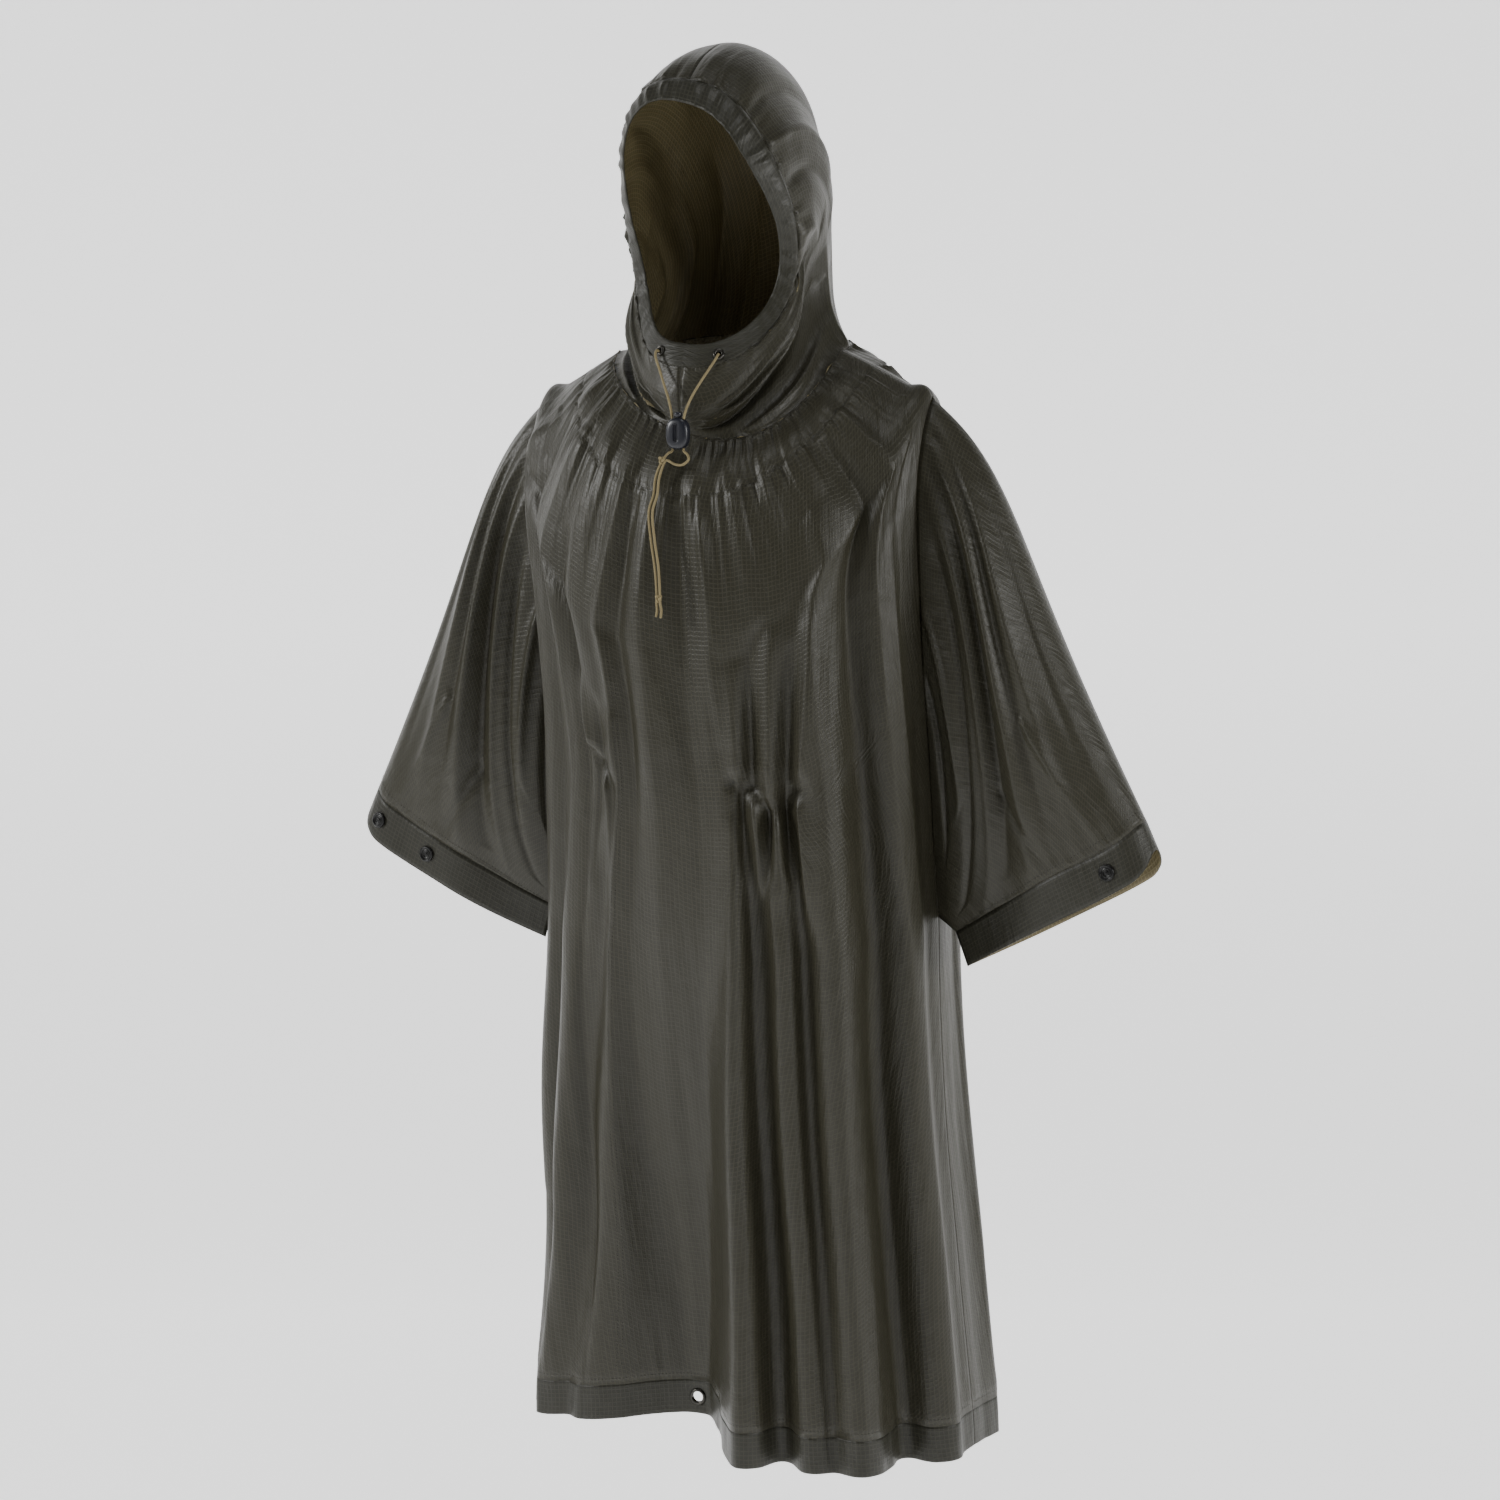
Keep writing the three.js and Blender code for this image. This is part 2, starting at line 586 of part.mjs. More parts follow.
// A grid of outer points becomes a closed wall, drawn back a little from each sewn edge
function wallGeometry(piece, normalAt) {
  const { grid, wrap, flip, thickness, pulls } = piece;
  const rows = grid.length;
  const columns = grid[0].length;
  const outer = [];
  const inner = [];
  for (let j = 0; j < rows; j += 1) {
    for (let i = 0; i < columns; i += 1) {
      const point = grid[j][i].clone();
      const normal = normalAt(grid[j][i]);
      if (pulls.top && j === 0) {
        point.add(pullFrom(grid, j, i, 1, 0, pulls.top));
      }
      if (pulls.bottom && j === rows - 1) {
        point.add(pullFrom(grid, j, i, -1, 0, pulls.bottom));
      }
      if (pulls.sides && i === 0) {
        point.add(pullFrom(grid, j, i, 0, 1, pulls.sides));
      }
      if (pulls.sides && i === columns - 1) {
        point.add(pullFrom(grid, j, i, 0, -1, pulls.sides));
      }
      outer.push(point);
      inner.push(point.clone().addScaledVector(normal, -thickness));
    }
  }
  const count = rows * columns;
  const at = (j, i) => j * columns + (i % columns);
  const triangles = [];
  const addQuad = (a, b, c, d) => {
    if (flip) {
      triangles.push(a, c, b, a, d, c);
    } else {
      triangles.push(a, b, c, a, c, d);
    }
  };
  const spans = wrap ? columns : columns - 1;
  for (let j = 0; j < rows - 1; j += 1) {
    for (let i = 0; i < spans; i += 1) {
      const a = at(j, i);
      const b = at(j + 1, i);
      const c = at(j + 1, i + 1);
      const d = at(j, i + 1);
      if (outer[a].distanceTo(outer[c]) <= outer[b].distanceTo(outer[d])) {
        addQuad(a, b, c, d);
        addQuad(a + count, d + count, c + count, b + count);
      } else {
        addQuad(b, c, d, a);
        addQuad(b + count, a + count, d + count, c + count);
      }
    }
  }
  for (let i = 0; i < spans; i += 1) {
    addQuad(at(0, i), at(0, i + 1), at(0, i + 1) + count, at(0, i) + count);
    addQuad(at(rows - 1, i + 1), at(rows - 1, i), at(rows - 1, i) + count, at(rows - 1, i + 1) + count);
  }
  if (!wrap) {
    for (let j = 0; j < rows - 1; j += 1) {
      addQuad(at(j + 1, 0), at(j, 0), at(j, 0) + count, at(j + 1, 0) + count);
      const last = columns - 1;
      addQuad(at(j, last), at(j + 1, last), at(j + 1, last) + count, at(j, last) + count);
    }
  }
  const geometry = new THREE.BufferGeometry();
  const positions = [...outer, ...inner].flatMap((point) => point.toArray());
  geometry.setAttribute('position', new THREE.Float32BufferAttribute(positions, 3));
  geometry.setIndex(triangles);
  return geometry;
}

function toSolid(geometry) {
  const plain = geometry.clone();
  plain.deleteAttribute('normal');
  plain.deleteAttribute('uv');
  const merged = mergeVertices(plain, 1e-4);
  return new wasm.Manifold(new wasm.Mesh({
    numProp: 3,
    vertProperties: new Float32Array(merged.attributes.position.array),
    triVerts: new Uint32Array(merged.index.array),
  }));
}

function fromSolid(solid) {
  const mesh = solid.getMesh();
  const geometry = new THREE.BufferGeometry();
  geometry.setAttribute('position', new THREE.Float32BufferAttribute(mesh.vertProperties, mesh.numProp));
  geometry.setIndex(Array.from(mesh.triVerts));
  return geometry;
}

// A ring of rectangular section with a bevelled front, about its own Z axis
function ringGeometry(outerRadius, holeRadius, thickness, segments) {
  const bevel = thickness * 0.35;
  const profile = [
    new THREE.Vector2(holeRadius, 0),
    new THREE.Vector2(outerRadius, 0),
    new THREE.Vector2(outerRadius, thickness - bevel),
    new THREE.Vector2(outerRadius - bevel, thickness),
    new THREE.Vector2(holeRadius + bevel, thickness),
    new THREE.Vector2(holeRadius, thickness - bevel),
    new THREE.Vector2(holeRadius, 0),
  ];
  return new THREE.LatheGeometry(profile, segments).rotateX(Math.PI / 2);
}

// A press-stud cap: a low dome with a raised rim and a small post in its middle
function snapGeometry() {
  const profile = [
    new THREE.Vector2(0, 0),
    new THREE.Vector2(snapRadius, 0),
    new THREE.Vector2(snapRadius, snapThickness * 0.6),
    new THREE.Vector2(snapRadius - 1, snapThickness),
    new THREE.Vector2(snapRadius - 2.4, snapThickness),
    new THREE.Vector2(snapRadius - 3.2, snapThickness * 0.55),
    new THREE.Vector2(2.2, snapThickness * 0.55),
    new THREE.Vector2(1.6, snapThickness * 0.95),
    new THREE.Vector2(0, snapThickness * 0.95),
  ];
  return new THREE.LatheGeometry(profile, snapSides).rotateX(Math.PI / 2);
}

const poncho = new THREE.Group();

function addMesh(name, geometry, colour, roughness, metalness) {
  const material = new THREE.MeshStandardMaterial({ color: colour, roughness, metalness });
  const mesh = new THREE.Mesh(geometry, material);
  mesh.name = name;
  poncho.add(mesh);
  return mesh;
}

// Puts a fitting on a surface point, its own +Z along the surface's outward normal
function placeOn(mesh, point, normal, lift) {
  mesh.position.copy(point).addScaledVector(normal, lift);
  mesh.quaternion.setFromUnitVectors(new THREE.Vector3(0, 0, 1), normal);
}

const levels = bodyLevels();
const hemLevels = [hemStitchLevel, hemEdgeLevel];
const panelPulls = { top: neckSeamPull, bottom: seamPull, sides: sideSeamPull };
const bandPulls = { top: seamPull, bottom: 0, sides: seamPull };
const hoodPulls = { top: seamPull, bottom: neckSeamPull, sides: seamPull };
const pieces = [
  {
    name: 'front_panel',
    grid: panelGrid(true, levels),
    flip: false,
    thickness: clothWall,
    pulls: panelPulls,
  },
  {
    name: 'back_panel',
    grid: panelGrid(false, levels),
    flip: true,
    thickness: clothWall,
    pulls: panelPulls,
  },
  {
    name: 'front_hem',
    grid: panelGrid(true, hemLevels),
    flip: false,
    thickness: hemWall,
    pulls: bandPulls,
  },
  {
    name: 'back_hem',
    grid: panelGrid(false, hemLevels),
    flip: true,
    thickness: hemWall,
    pulls: bandPulls,
  },
];
for (const [name, side] of [['left', 1], ['right', -1]]) {
  pieces.push({
    name: `sleeve_${name}`,
    grid: sleeveGrid(side),
    wrap: true,
    flip: side > 0,
    thickness: clothWall,
    pulls: { top: armSeamPull, bottom: seamPull },
  });
  pieces.push({
    name: `cuff_hem_${name}`,
    grid: cuffGrid(side),
    wrap: true,
    flip: side > 0,
    thickness: hemWall,
    pulls: { top: seamPull },
  });
  pieces.push({
    name: `hood_${name}`,
    grid: hoodGrid(side),
    flip: side < 0,
    thickness: clothWall,
    pulls: hoodPulls,
  });
}
pieces.push({
  name: 'hood_face_hem',
  grid: faceHemGrid(),
  wrap: true,
  flip: false,
  thickness: tunnelWall,
  pulls: { bottom: faceSeamPull },
});

const normalAt = shareNormals(pieces);
for (const piece of pieces) {
  const isHem = piece.name.includes('hem');
  addMesh(piece.name, wallGeometry(piece, normalAt), isHem ? hemOlive : clothOlive, 0.55, 0);
}

// The outward normal of a surface that is given as a function of two values
function normalOf(surface, u, v, step) {
  const along = surface(u + step, v).sub(surface(u - step, v));
  const across = surface(u, v + step).sub(surface(u, v - step));
  return along.cross(across).normalize();
}

// The front hem band is pierced for its eyelet
function pierceFrontHem() {
  const surface = (across, level) => bodyPoint(true, across, level);
  const point = surface(hemEyeletAcross, hemEyeletLevel);
  const normal = normalOf(surface, hemEyeletAcross, hemEyeletLevel, 0.01).negate();
  const drill = new THREE.CylinderGeometry(hemEyeletHoleRadius, hemEyeletHoleRadius, 20, 24);
  const turn = new THREE.Quaternion().setFromUnitVectors(new THREE.Vector3(0, 1, 0), normal);
  drill.applyQuaternion(turn).translate(point.x, point.y, point.z);
  const band = poncho.children.find((mesh) => mesh.name === 'front_hem');
  band.geometry = fromSolid(toSolid(band.geometry).subtract(toSolid(drill)));
  const ring = ringGeometry(hemEyeletOuterRadius, hemEyeletHoleRadius, eyeletThickness, 24);
  placeOn(addMesh('hem_eyelet', ring, snapBlack, 0.35, 0.8), point, normal, hemEyeletSeat);
}

function addChinEyelets() {
  for (const eyelet of chinEyelets) {
    const surface = (turn, t) => faceHemPoint(eyelet.side, turn, t);
    const point = surface(eyelet.turn, 0.5);
    const normal = normalOf(surface, eyelet.turn, 0.5, 0.02).multiplyScalar(-eyelet.side);
    const ring = ringGeometry(eyeletOuterRadius, eyeletHoleRadius, eyeletThickness, 16);
    placeOn(addMesh(eyelet.name, ring, snapBlack, 0.35, 0.8), point, normal, fittingClearance);
  }
}

function addCuffSnaps() {
  for (const snap of cuffSnaps) {
    const surface = (around, along) => cuffPoint(snap.side, snap.isFront, around, along);
    const point = surface(snap.around, 0.5);
    const normal = normalOf(surface, snap.around, 0.5, 0.02);
    if (normal.y > 0 === snap.isFront) {
      normal.negate();
    }
    placeOn(addMesh(snap.name, snapGeometry(), snapBlack, 0.4, 0.3), point, normal, snapSeat);
  }
}

function roundedRectangle(width, height, radius) {
  const x = width / 2 - radius;
  const y = height / 2 - radius;
  const shape = new THREE.Shape();
  shape.absarc(x, y, radius, 0, Math.PI / 2);
  shape.absarc(-x, y, radius, Math.PI / 2, Math.PI);
  shape.absarc(-x, -y, radius, Math.PI, Math.PI * 1.5);
  shape.absarc(x, -y, radius, Math.PI * 1.5, Math.PI * 2);
  return shape;
}

// The cord lock: a flat rounded barrel with its push button on top
function addCordLock() {
  const width = lockWidth - 2 * lockBevel;
  const height = lockHeight - 2 * lockBevel;
  const outline = roundedRectangle(width, height, lockCorner - lockBevel);
  const body = new THREE.ExtrudeGeometry(outline, {
    depth: lockDepth - 2 * lockBevel,
    bevelEnabled: true,
    bevelThickness: lockBevel,
    bevelSize: lockBevel,
    bevelSegments: 2,
    curveSegments: 4,
  });
  body.translate(0, 0, -(lockDepth / 2 - lockBevel)).rotateX(Math.PI / 2);
  const lock = addMesh('cord_lock_body', body, lockNavy, 0.35, 0);
  lock.position.set(lockCentre.x, lockCentre.y, lockCentre.z);
  const buttonTop = lockButtonRadius * 0.85;
  const button = new THREE.CylinderGeometry(buttonTop, lockButtonRadius, lockButtonHeight, 14);
  button.rotateX(Math.PI / 2);
  const buttonZ = lockCentre.z + lockHeight / 2 + fittingClearance + lockButtonHeight / 2;
  addMesh('cord_lock_button', button, lockNavy, 0.35, 0).position.set(lockCentre.x, lockCentre.y, buttonZ);
}

function addCord(name, points) {
  const path = new THREE.CatmullRomCurve3(points.map((p) => new THREE.Vector3(...p)), false, 'centripetal');
  const section = new THREE.Shape();
  for (let i = 0; i < cordSides; i += 1) {
    const angle = 2 * Math.PI * i / cordSides;
    const corner = [cordRadius * Math.cos(angle), cordRadius * Math.sin(angle)];
    if (i === 0) {
      section.moveTo(...corner);
    } else {
      section.lineTo(...corner);
    }
  }
  const steps = Math.max(2, Math.round(path.getLength() / cordStep));
  const tube = new THREE.ExtrudeGeometry(section, { steps, extrudePath: path, bevelEnabled: false });
  addMesh(name, tube, cordKhaki, 0.8, 0);
}

function addKnot(name, centre) {
  const knot = new THREE.SphereGeometry(1, 12, 8);
  knot.scale(knotHalfWidth, knotHalfWidth, knotHalfHeight);
  addMesh(name, knot, cordKhaki, 0.85, 0).position.set(...centre);
}

pierceFrontHem();
addChinEyelets();
addCuffSnaps();
addCordLock();
for (const run of cordRuns) {
  addCord(run.name, run.points);
}
addKnot('cord_knot_upper', upperKnot);
addKnot('cord_knot_lower', lowerKnot);

export default poncho;
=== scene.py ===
import math

import bmesh
import bpy
import numpy as np
from mathutils import Matrix, Vector


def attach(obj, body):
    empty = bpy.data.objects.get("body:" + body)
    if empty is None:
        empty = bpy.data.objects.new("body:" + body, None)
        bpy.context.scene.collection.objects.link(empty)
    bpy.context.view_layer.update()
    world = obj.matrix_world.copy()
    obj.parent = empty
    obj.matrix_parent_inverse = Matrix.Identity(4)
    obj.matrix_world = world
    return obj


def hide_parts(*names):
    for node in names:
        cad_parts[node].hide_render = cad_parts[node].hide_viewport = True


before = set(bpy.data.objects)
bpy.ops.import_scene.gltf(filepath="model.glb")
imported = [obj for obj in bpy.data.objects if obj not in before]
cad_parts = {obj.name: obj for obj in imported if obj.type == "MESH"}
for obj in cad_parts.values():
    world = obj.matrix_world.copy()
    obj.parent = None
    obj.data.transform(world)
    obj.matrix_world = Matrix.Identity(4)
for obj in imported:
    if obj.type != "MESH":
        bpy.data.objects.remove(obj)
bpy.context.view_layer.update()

# Hooded rain poncho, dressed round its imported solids. Tables are in millimetres, as the solids'
# driving sizes are, and every mesh is written in metres.

MM = 0.001

# Camera: a long lens about 4.2 m away, a little above the middle of the garment, turned to its left
CAMERA_TURN = math.radians(27.0)
CAMERA_YAW = math.radians(26.796)
CAMERA_PITCH = math.radians(5.17)
CAMERA_DISTANCE = 4.2
CAMERA_HEIGHT = -0.0198
CAMERA_LENS = 100.8

FLOOR_HEIGHT = -1.47

# Levels of the body's sections
SHOULDER_LEVEL = 1.0
UNDERARM_LEVEL = 2.0
HEM_STITCH_LEVEL = 3.0
HEM_EDGE_LEVEL = 3.1
YOKE_STITCH_LEVEL = 0.36


def table(columns, rows):
    values = np.array(rows, float)
    return {name: values[:, index] for index, name in enumerate(columns.split())}


BODY_SECTIONS = table(
    "at centre_x half_width front_y side_y back_y front_z side_z back_z tilt",
    [
        (0.0, 0, 119, -112, -2, 94, -80, 0, 18, -0.3),
        (0.33, -2, 150, -138, 3, 122, -134, -14, -22, -0.15),
        (0.66, -4, 186, -147, 8, 142, -205, -32, -92, -0.03),
        (1.0, -3, 215, -147, 10, 156, -290, -48, -180, 0),
        (1.33, 4, 214, -140, 14, 168, -372, -170, -290, 0),
        (1.66, 9, 211, -130, 22, 181, -465, -330, -410, 0),
        (2.0, 3, 207, -121, 32, 192, -600, -560, -590, 0),
        (2.35, -3, 215, -108, 44, 206, -765, -745, -760, -0.01),
        (2.7, -1, 225, -102, 54, 218, -925, -915, -925, -0.04),
        (3.0, -2, 239, -100, 60, 226, -1064, -1061, -1062, -0.05),
        (3.1, -2, 241, -99, 61, 227, -1100, -1097, -1098, -0.05),
    ],
)
SECTION_POWER = 0.92
RIDGE_POWER = 1.25
ARMHOLE_HALF_GAP = 40.0
TOP_ROUNDING = 0.22
BOTTOM_CLOSING = 0.5
HEM_LIFT = 0.16

GATHER_COLUMNS = "across width height reach"
FRONT_GATHERS = table(GATHER_COLUMNS, [
    (-0.86, 0.07, 5, 0.9), (-0.66, 0.06, 7, 1.2), (-0.49, 0.05, 6, 0.8), (-0.34, 0.06, 8, 1.5),
    (-0.18, 0.05, 5, 0.7), (-0.04, 0.06, 7, 1.1), (0.11, 0.05, 6, 0.9), (0.25, 0.06, 8, 1.4),
    (0.4, 0.05, 6, 0.8), (0.54, 0.06, 8, 1.3), (0.7, 0.06, 7, 1.1), (0.87, 0.06, 5, 0.9),
])
BACK_GATHERS = table(GATHER_COLUMNS, [
    (-0.84, 0.08, 5, 0.9), (-0.6, 0.07, 7, 1.2), (-0.37, 0.07, 6, 1.0), (-0.12, 0.07, 8, 1.4),
    (0.14, 0.07, 6, 0.9), (0.36, 0.07, 8, 1.3), (0.61, 0.07, 6, 1.0), (0.85, 0.08, 5, 1.1),
])
FOLD_COLUMNS = "top bottom right left height start full"
FRONT_FOLDS = table(FOLD_COLUMNS, [
    (0.1, -0.073, 0.3, 0.13, -92, 1.55, 3.1),
    (0.18, 0.13, 0.07, 0.07, 15, 1.3, 2.5),
    (0.235, 0.25, 0.06, 0.07, -17, 1.3, 2.8),
    (0.31, 0.34, 0.06, 0.05, 8, 1.4, 2.6),
    (0.39, 0.4, 0.05, 0.05, -9, 1.2, 2.4),
    (0.5, 0.47, 0.09, 0.09, 19, 0.9, 2.9),
    (0.63, 0.67, 0.08, 0.08, -22, 0.9, 2.9),
    (0.78, 0.83, 0.08, 0.07, 13, 0.9, 2.9),
    (-0.05, -0.42, 0.08, 0.08, 9, 0.9, 2.6),
    (-0.15, -0.52, 0.06, 0.06, -9, 1.0, 2.6),
    (-0.22, -0.62, 0.07, 0.07, 11, 1.0, 2.8),
    (-0.45, -0.73, 0.07, 0.06, -10, 1.0, 2.8),
    (-0.66, -0.85, 0.08, 0.07, 9, 1.0, 2.8),
])
BACK_FOLDS = table(FOLD_COLUMNS, [
    (-0.78, -0.84, 0.09, 0.08, 14, 1.0, 2.8),
    (-0.62, -0.66, 0.08, 0.09, -24, 1.0, 3.0),
    (-0.45, -0.46, 0.1, 0.1, 22, 0.8, 2.9),
    (-0.26, -0.24, 0.09, 0.1, -30, 0.9, 3.0),
    (-0.06, -0.02, 0.1, 0.09, 20, 0.8, 2.8),
    (0.13, 0.2, 0.08, 0.09, -26, 1.0, 3.0),
    (0.33, 0.41, 0.1, 0.1, 24, 0.8, 2.9),
    (0.54, 0.61, 0.09, 0.08, -22, 1.0, 3.0),
    (0.77, 0.81, 0.09, 0.09, 15, 0.9, 2.8),
])

# Creases that the solids are too coarse for: from one place on a panel to another, in its own
# coordinates, with the width and height in millimetres (minus for a trough)
CREASE_COLUMNS = "across_0 level_0 across_1 level_1 width height"
FRONT_CREASES = table(CREASE_COLUMNS, [
    # The right tack at the waist: a shallow bag of cloth with pleats below and folds above it
    (0.16, 1.52, 0.29, 1.6, 6, -6),
    (0.44, 1.61, 0.3, 1.65, 6, -6),
    (0.19, 1.53, 0.22, 1.1, 9, 5),
    (0.24, 1.55, 0.28, 1.0, 7, -5),
    (0.3, 1.6, 0.35, 1.05, 9, 5),
    (0.36, 1.62, 0.43, 1.15, 8, -5),
    (0.42, 1.62, 0.5, 1.1, 9, 4),
    (0.2, 1.58, 0.2, 1.8, 5, -6),
    (0.24, 1.6, 0.245, 1.86, 5, 6),
    (0.285, 1.63, 0.28, 1.84, 5, -7),
    (0.32, 1.65, 0.32, 1.88, 5, 6),
    (0.36, 1.65, 0.355, 1.83, 5, -7),
    (0.4, 1.64, 0.41, 1.95, 6, 5),
    # The left tack
    (-0.37, 1.5, -0.27, 1.56, 5, -5),
    (-0.36, 1.5, -0.4, 1.25, 6, 4),
    (-0.31, 1.52, -0.3, 1.28, 5, -4),
    (-0.27, 1.55, -0.22, 1.3, 6, 3),
    (-0.34, 1.54, -0.36, 1.85, 6, -4),
    (-0.3, 1.56, -0.28, 1.9, 6, 4),
    # Long soft folds down the front, from the wearer's right to the left
    (-0.8, 0.7, -0.78, 2.6, 13, 5),
    (-0.66, 0.5, -0.66, 2.9, 12, -6),
    (-0.5, 0.45, -0.52, 2.6, 16, 5),
    (-0.4, 0.9, -0.43, 3.6, 10, -5),
    (-0.19, 0.5, -0.34, 3.6, 7, 3),
    (-0.13, 0.55, -0.22, 2.8, 11, -5),
    (-0.05, 0.6, -0.1, 2.5, 17, 5),
    (0.05, 0.5, 0.04, 1.9, 10, -3),
    (0.13, 0.5, 0.15, 1.4, 9, 4),
    (0.16, 1.75, 0.13, 3.6, 8, 5),
    (0.215, 1.8, 0.245, 3.6, 10, -6),
    (0.29, 1.8, 0.34, 3.6, 14, 5),
    (0.375, 1.75, 0.41, 3.6, 10, -5),
    (0.49, 0.9, 0.48, 3.7, 17, 5),
    (0.64, 0.6, 0.71, 3.7, 12, -7),
    (0.75, 0.5, 0.8, 2.6, 11, 4),
    (0.85, 1.3, 0.87, 3.7, 12, 4),
])
BACK_CREASES = table(CREASE_COLUMNS, [
    (-0.42, 1.58, -0.24, 1.5, 7, -7),
    (-0.4, 1.57, -0.44, 1.15, 8, 5),
    (-0.33, 1.52, -0.34, 1.1, 7, -5),
    (-0.27, 1.5, -0.22, 1.15, 8, 5),
    (-0.36, 1.58, -0.35, 2.0, 8, -6),
    (-0.29, 1.55, -0.3, 2.1, 8, 6),
    (0.26, 1.5, 0.43, 1.6, 7, -7),
    (0.28, 1.5, 0.25, 1.1, 8, 5),
    (0.35, 1.54, 0.37, 1.15, 7, -5),
    (0.42, 1.58, 0.48, 1.2, 8, 4),
    (0.31, 1.55, 0.3, 2.0, 8, 6),
    (0.39, 1.6, 0.4, 2.1, 8, -5),
    (-0.1, 0.5, -0.08, 2.8, 14, 4),
    (0.08, 0.45, 0.1, 3.6, 11, -5),
    (-0.2, 0.6, -0.17, 3.6, 11, -5),
    (-0.65, 0.5, -0.72, 2.6, 12, -5),
    (-0.52, 0.6, -0.55, 3.6, 15, 5),
    (0.2, 0.7, 0.27, 3.6, 14, 4),
    (0.5, 0.5, 0.5, 3.6, 12, -6),
    (0.66, 0.5, 0.72, 2.7, 13, 5),
    (0.82, 0.7, 0.84, 3.6, 11, -4),
])

CUFF_STITCH = table("at x y z", [
    (0.0, 431, 26, -454), (0.15, 409, 28, -474), (0.5, 336, 32, -514), (1.0, 228, 34, -574),
])
CUFF_EDGE = table("at x y z", [
    (0.0, 443, 26, -480), (0.06, 439, 28, -497), (0.15, 424, 29, -513), (0.5, 343, 32, -556),
    (1.0, 240, 36, -608),
])
RIDGE_BULGE = 30.0
RIDGE_BULGE_AT = 0.25
SLEEVE_FULLNESS = 52.0
CUFF_HALF_GAP = 30.0
SLEEVE_FOLDS = table("cuff_at width height", [(0.22, 0.12, -7), (0.46, 0.14, 10), (0.72, 0.13, -11)])

HOOD_SECTIONS = table(
    "at near_y near_z far_y far_z half_width side_y side_z tilt low_y brow_tilt power",
    [
        (0.0, -106, 6, -112, 238, 79, 41, 0, -0.1, 60, -0.25, 0.76),
        (0.1, -114, -16, -96, 261, 94, 53, -2, -0.1, 52, -0.17, 0.8),
        (0.22, -117, -28, -60, 288, 98, 56, -3, -0.03, 34, -0.07, 0.86),
        (0.36, -118, -42, -8, 302, 97, 44, -4, -0.08, 16, -0.01, 0.9),
        (0.5, -118, -53, 52, 285, 95, 28, -4, -0.13, 2, 0, 0.92),
        (0.64, -117, -62, 99, 232, 89, 16, 0, -0.18, 0, 0, 0.92),
        (0.77, -116, -69, 114, 162, 85, 12, 8, -0.22, 0, 0, 0.92),
        (0.89, -114, -75, 101, 86, 86, 12, 16, -0.26, 0, 0, 0.92),
        (1.0, -112, -80, 94, 18, 119, 7, 31, -0.3, 0, 0, 0.92),
    ],
)
NECK_SETTLE_FROM = 0.74
FACE_HEM_LEVEL = 0.1
HOOD_FOLDS = table("around turn width height", [
    (0.28, 0.06, 0.07, 5), (0.42, 0.1, 0.07, -5), (0.58, 0.05, 0.08, 5), (0.75, -0.06, 0.08, -4),
])
TUNNEL_BULGE = 1.5

# Drawcord, in millimetres: each strand's route from its eyelet through the lock and both knots
CORD_RADIUS = 1.25
CORD_SIDES = 12
CORD_ROUTES = {
    "left": [
        (35, -104.2, -5.1), (36.4, -107.4, -4.8), (36.3, -112, -9), (31.5, -120, -21), (26, -128, -34),
        (20, -134, -48), (15, -138, -65.4), (14.5, -138, -97.1), (20, -141, -101), (23, -144, -106),
        (17, -146, -111), (9, -146, -110.5), (0.1, -146.6, -106.8), (-3, -147, -111.6), (-6, -150, -124),
        (-6, -154, -140), (-9, -158, -156), (-5, -161, -185), (0, -163, -210), (2, -164, -234.5),
        (2.3, -164, -244.3), (3.5, -164, -251), (3, -164, -258),
    ],
    "right": [
        (-28.3, -108, -1.4), (-29.2, -111.1, -1), (-28.2, -115.5, -5.5), (-20, -122, -20), (-12, -128, -34),
        (-4, -134, -48), (2, -138, -65.4), (2.5, -138, -97.2), (0, -142, -100), (-1.9, -144.3, -102.9),
        (-6.3, -147, -111.2), (-10, -150, -124), (-10, -154, -140), (-13, -158, -156), (-9, -161, -185),
        (-4, -163, -210), (-1.5, -164, -234.5), (-1.5, -164, -244.5), (-1, -164, -251), (-2, -164, -257),
    ],
}
CORD_NODES = {
    "left": ("cord_left_upper", "cord_left_loop", "cord_left_tail", "cord_left_end"),
    "right": ("cord_right_upper", "cord_right_short", "cord_right_tail", "cord_right_end"),
}
KNOTS = {"upper": (-4.5, -147, -106.5), "lower": (0.5, -164, -239.5)}
KNOT_HALF = 4.2

# Cord lock: its size, centre and button, and the slot sunk in its face
LOCK_CENTRE = (8.5, -138, -81)
LOCK_HALF = (12, 6, 15.5)
LOCK_SLOT = {"top": 7.5, "bottom": -5.5, "radius": 2.6, "depth": 2.4}
LOCK_BUTTON_RADIUS = 3.8
LOCK_BUTTON_HEIGHT = 5
LOCK_BUTTON_LEVEL = -65.2

# Eyelets and studs: radii, and where they sit on their cloth
EYELET_OUTER = 5.5
EYELET_HOLE = 2.6
HEM_EYELET_OUTER = 8.5
HEM_EYELET_HOLE = 5.6
HEM_EYELET_AT = (-0.105, 3.05)
CHIN_EYELETS = {"left": (1, 0.095), "right": (-1, 0.072)}
STUD_RADIUS = 8.2
STUDS = {
    "left_front": (1, True, 0.22),
    "left_back": (1, False, 0.22),
    "right_tip_front": (-1, True, 0.13),
    "right_tip_back": (-1, False, 0.13),
    "right_low_front": (-1, True, 0.4),
    "right_low_back": (-1, False, 0.4),
}

# Creases: how crisp their crests are, and how deep they run against the tables
CREASE_SHARPNESS = 1.45
CREASE_DEPTH = 1.6

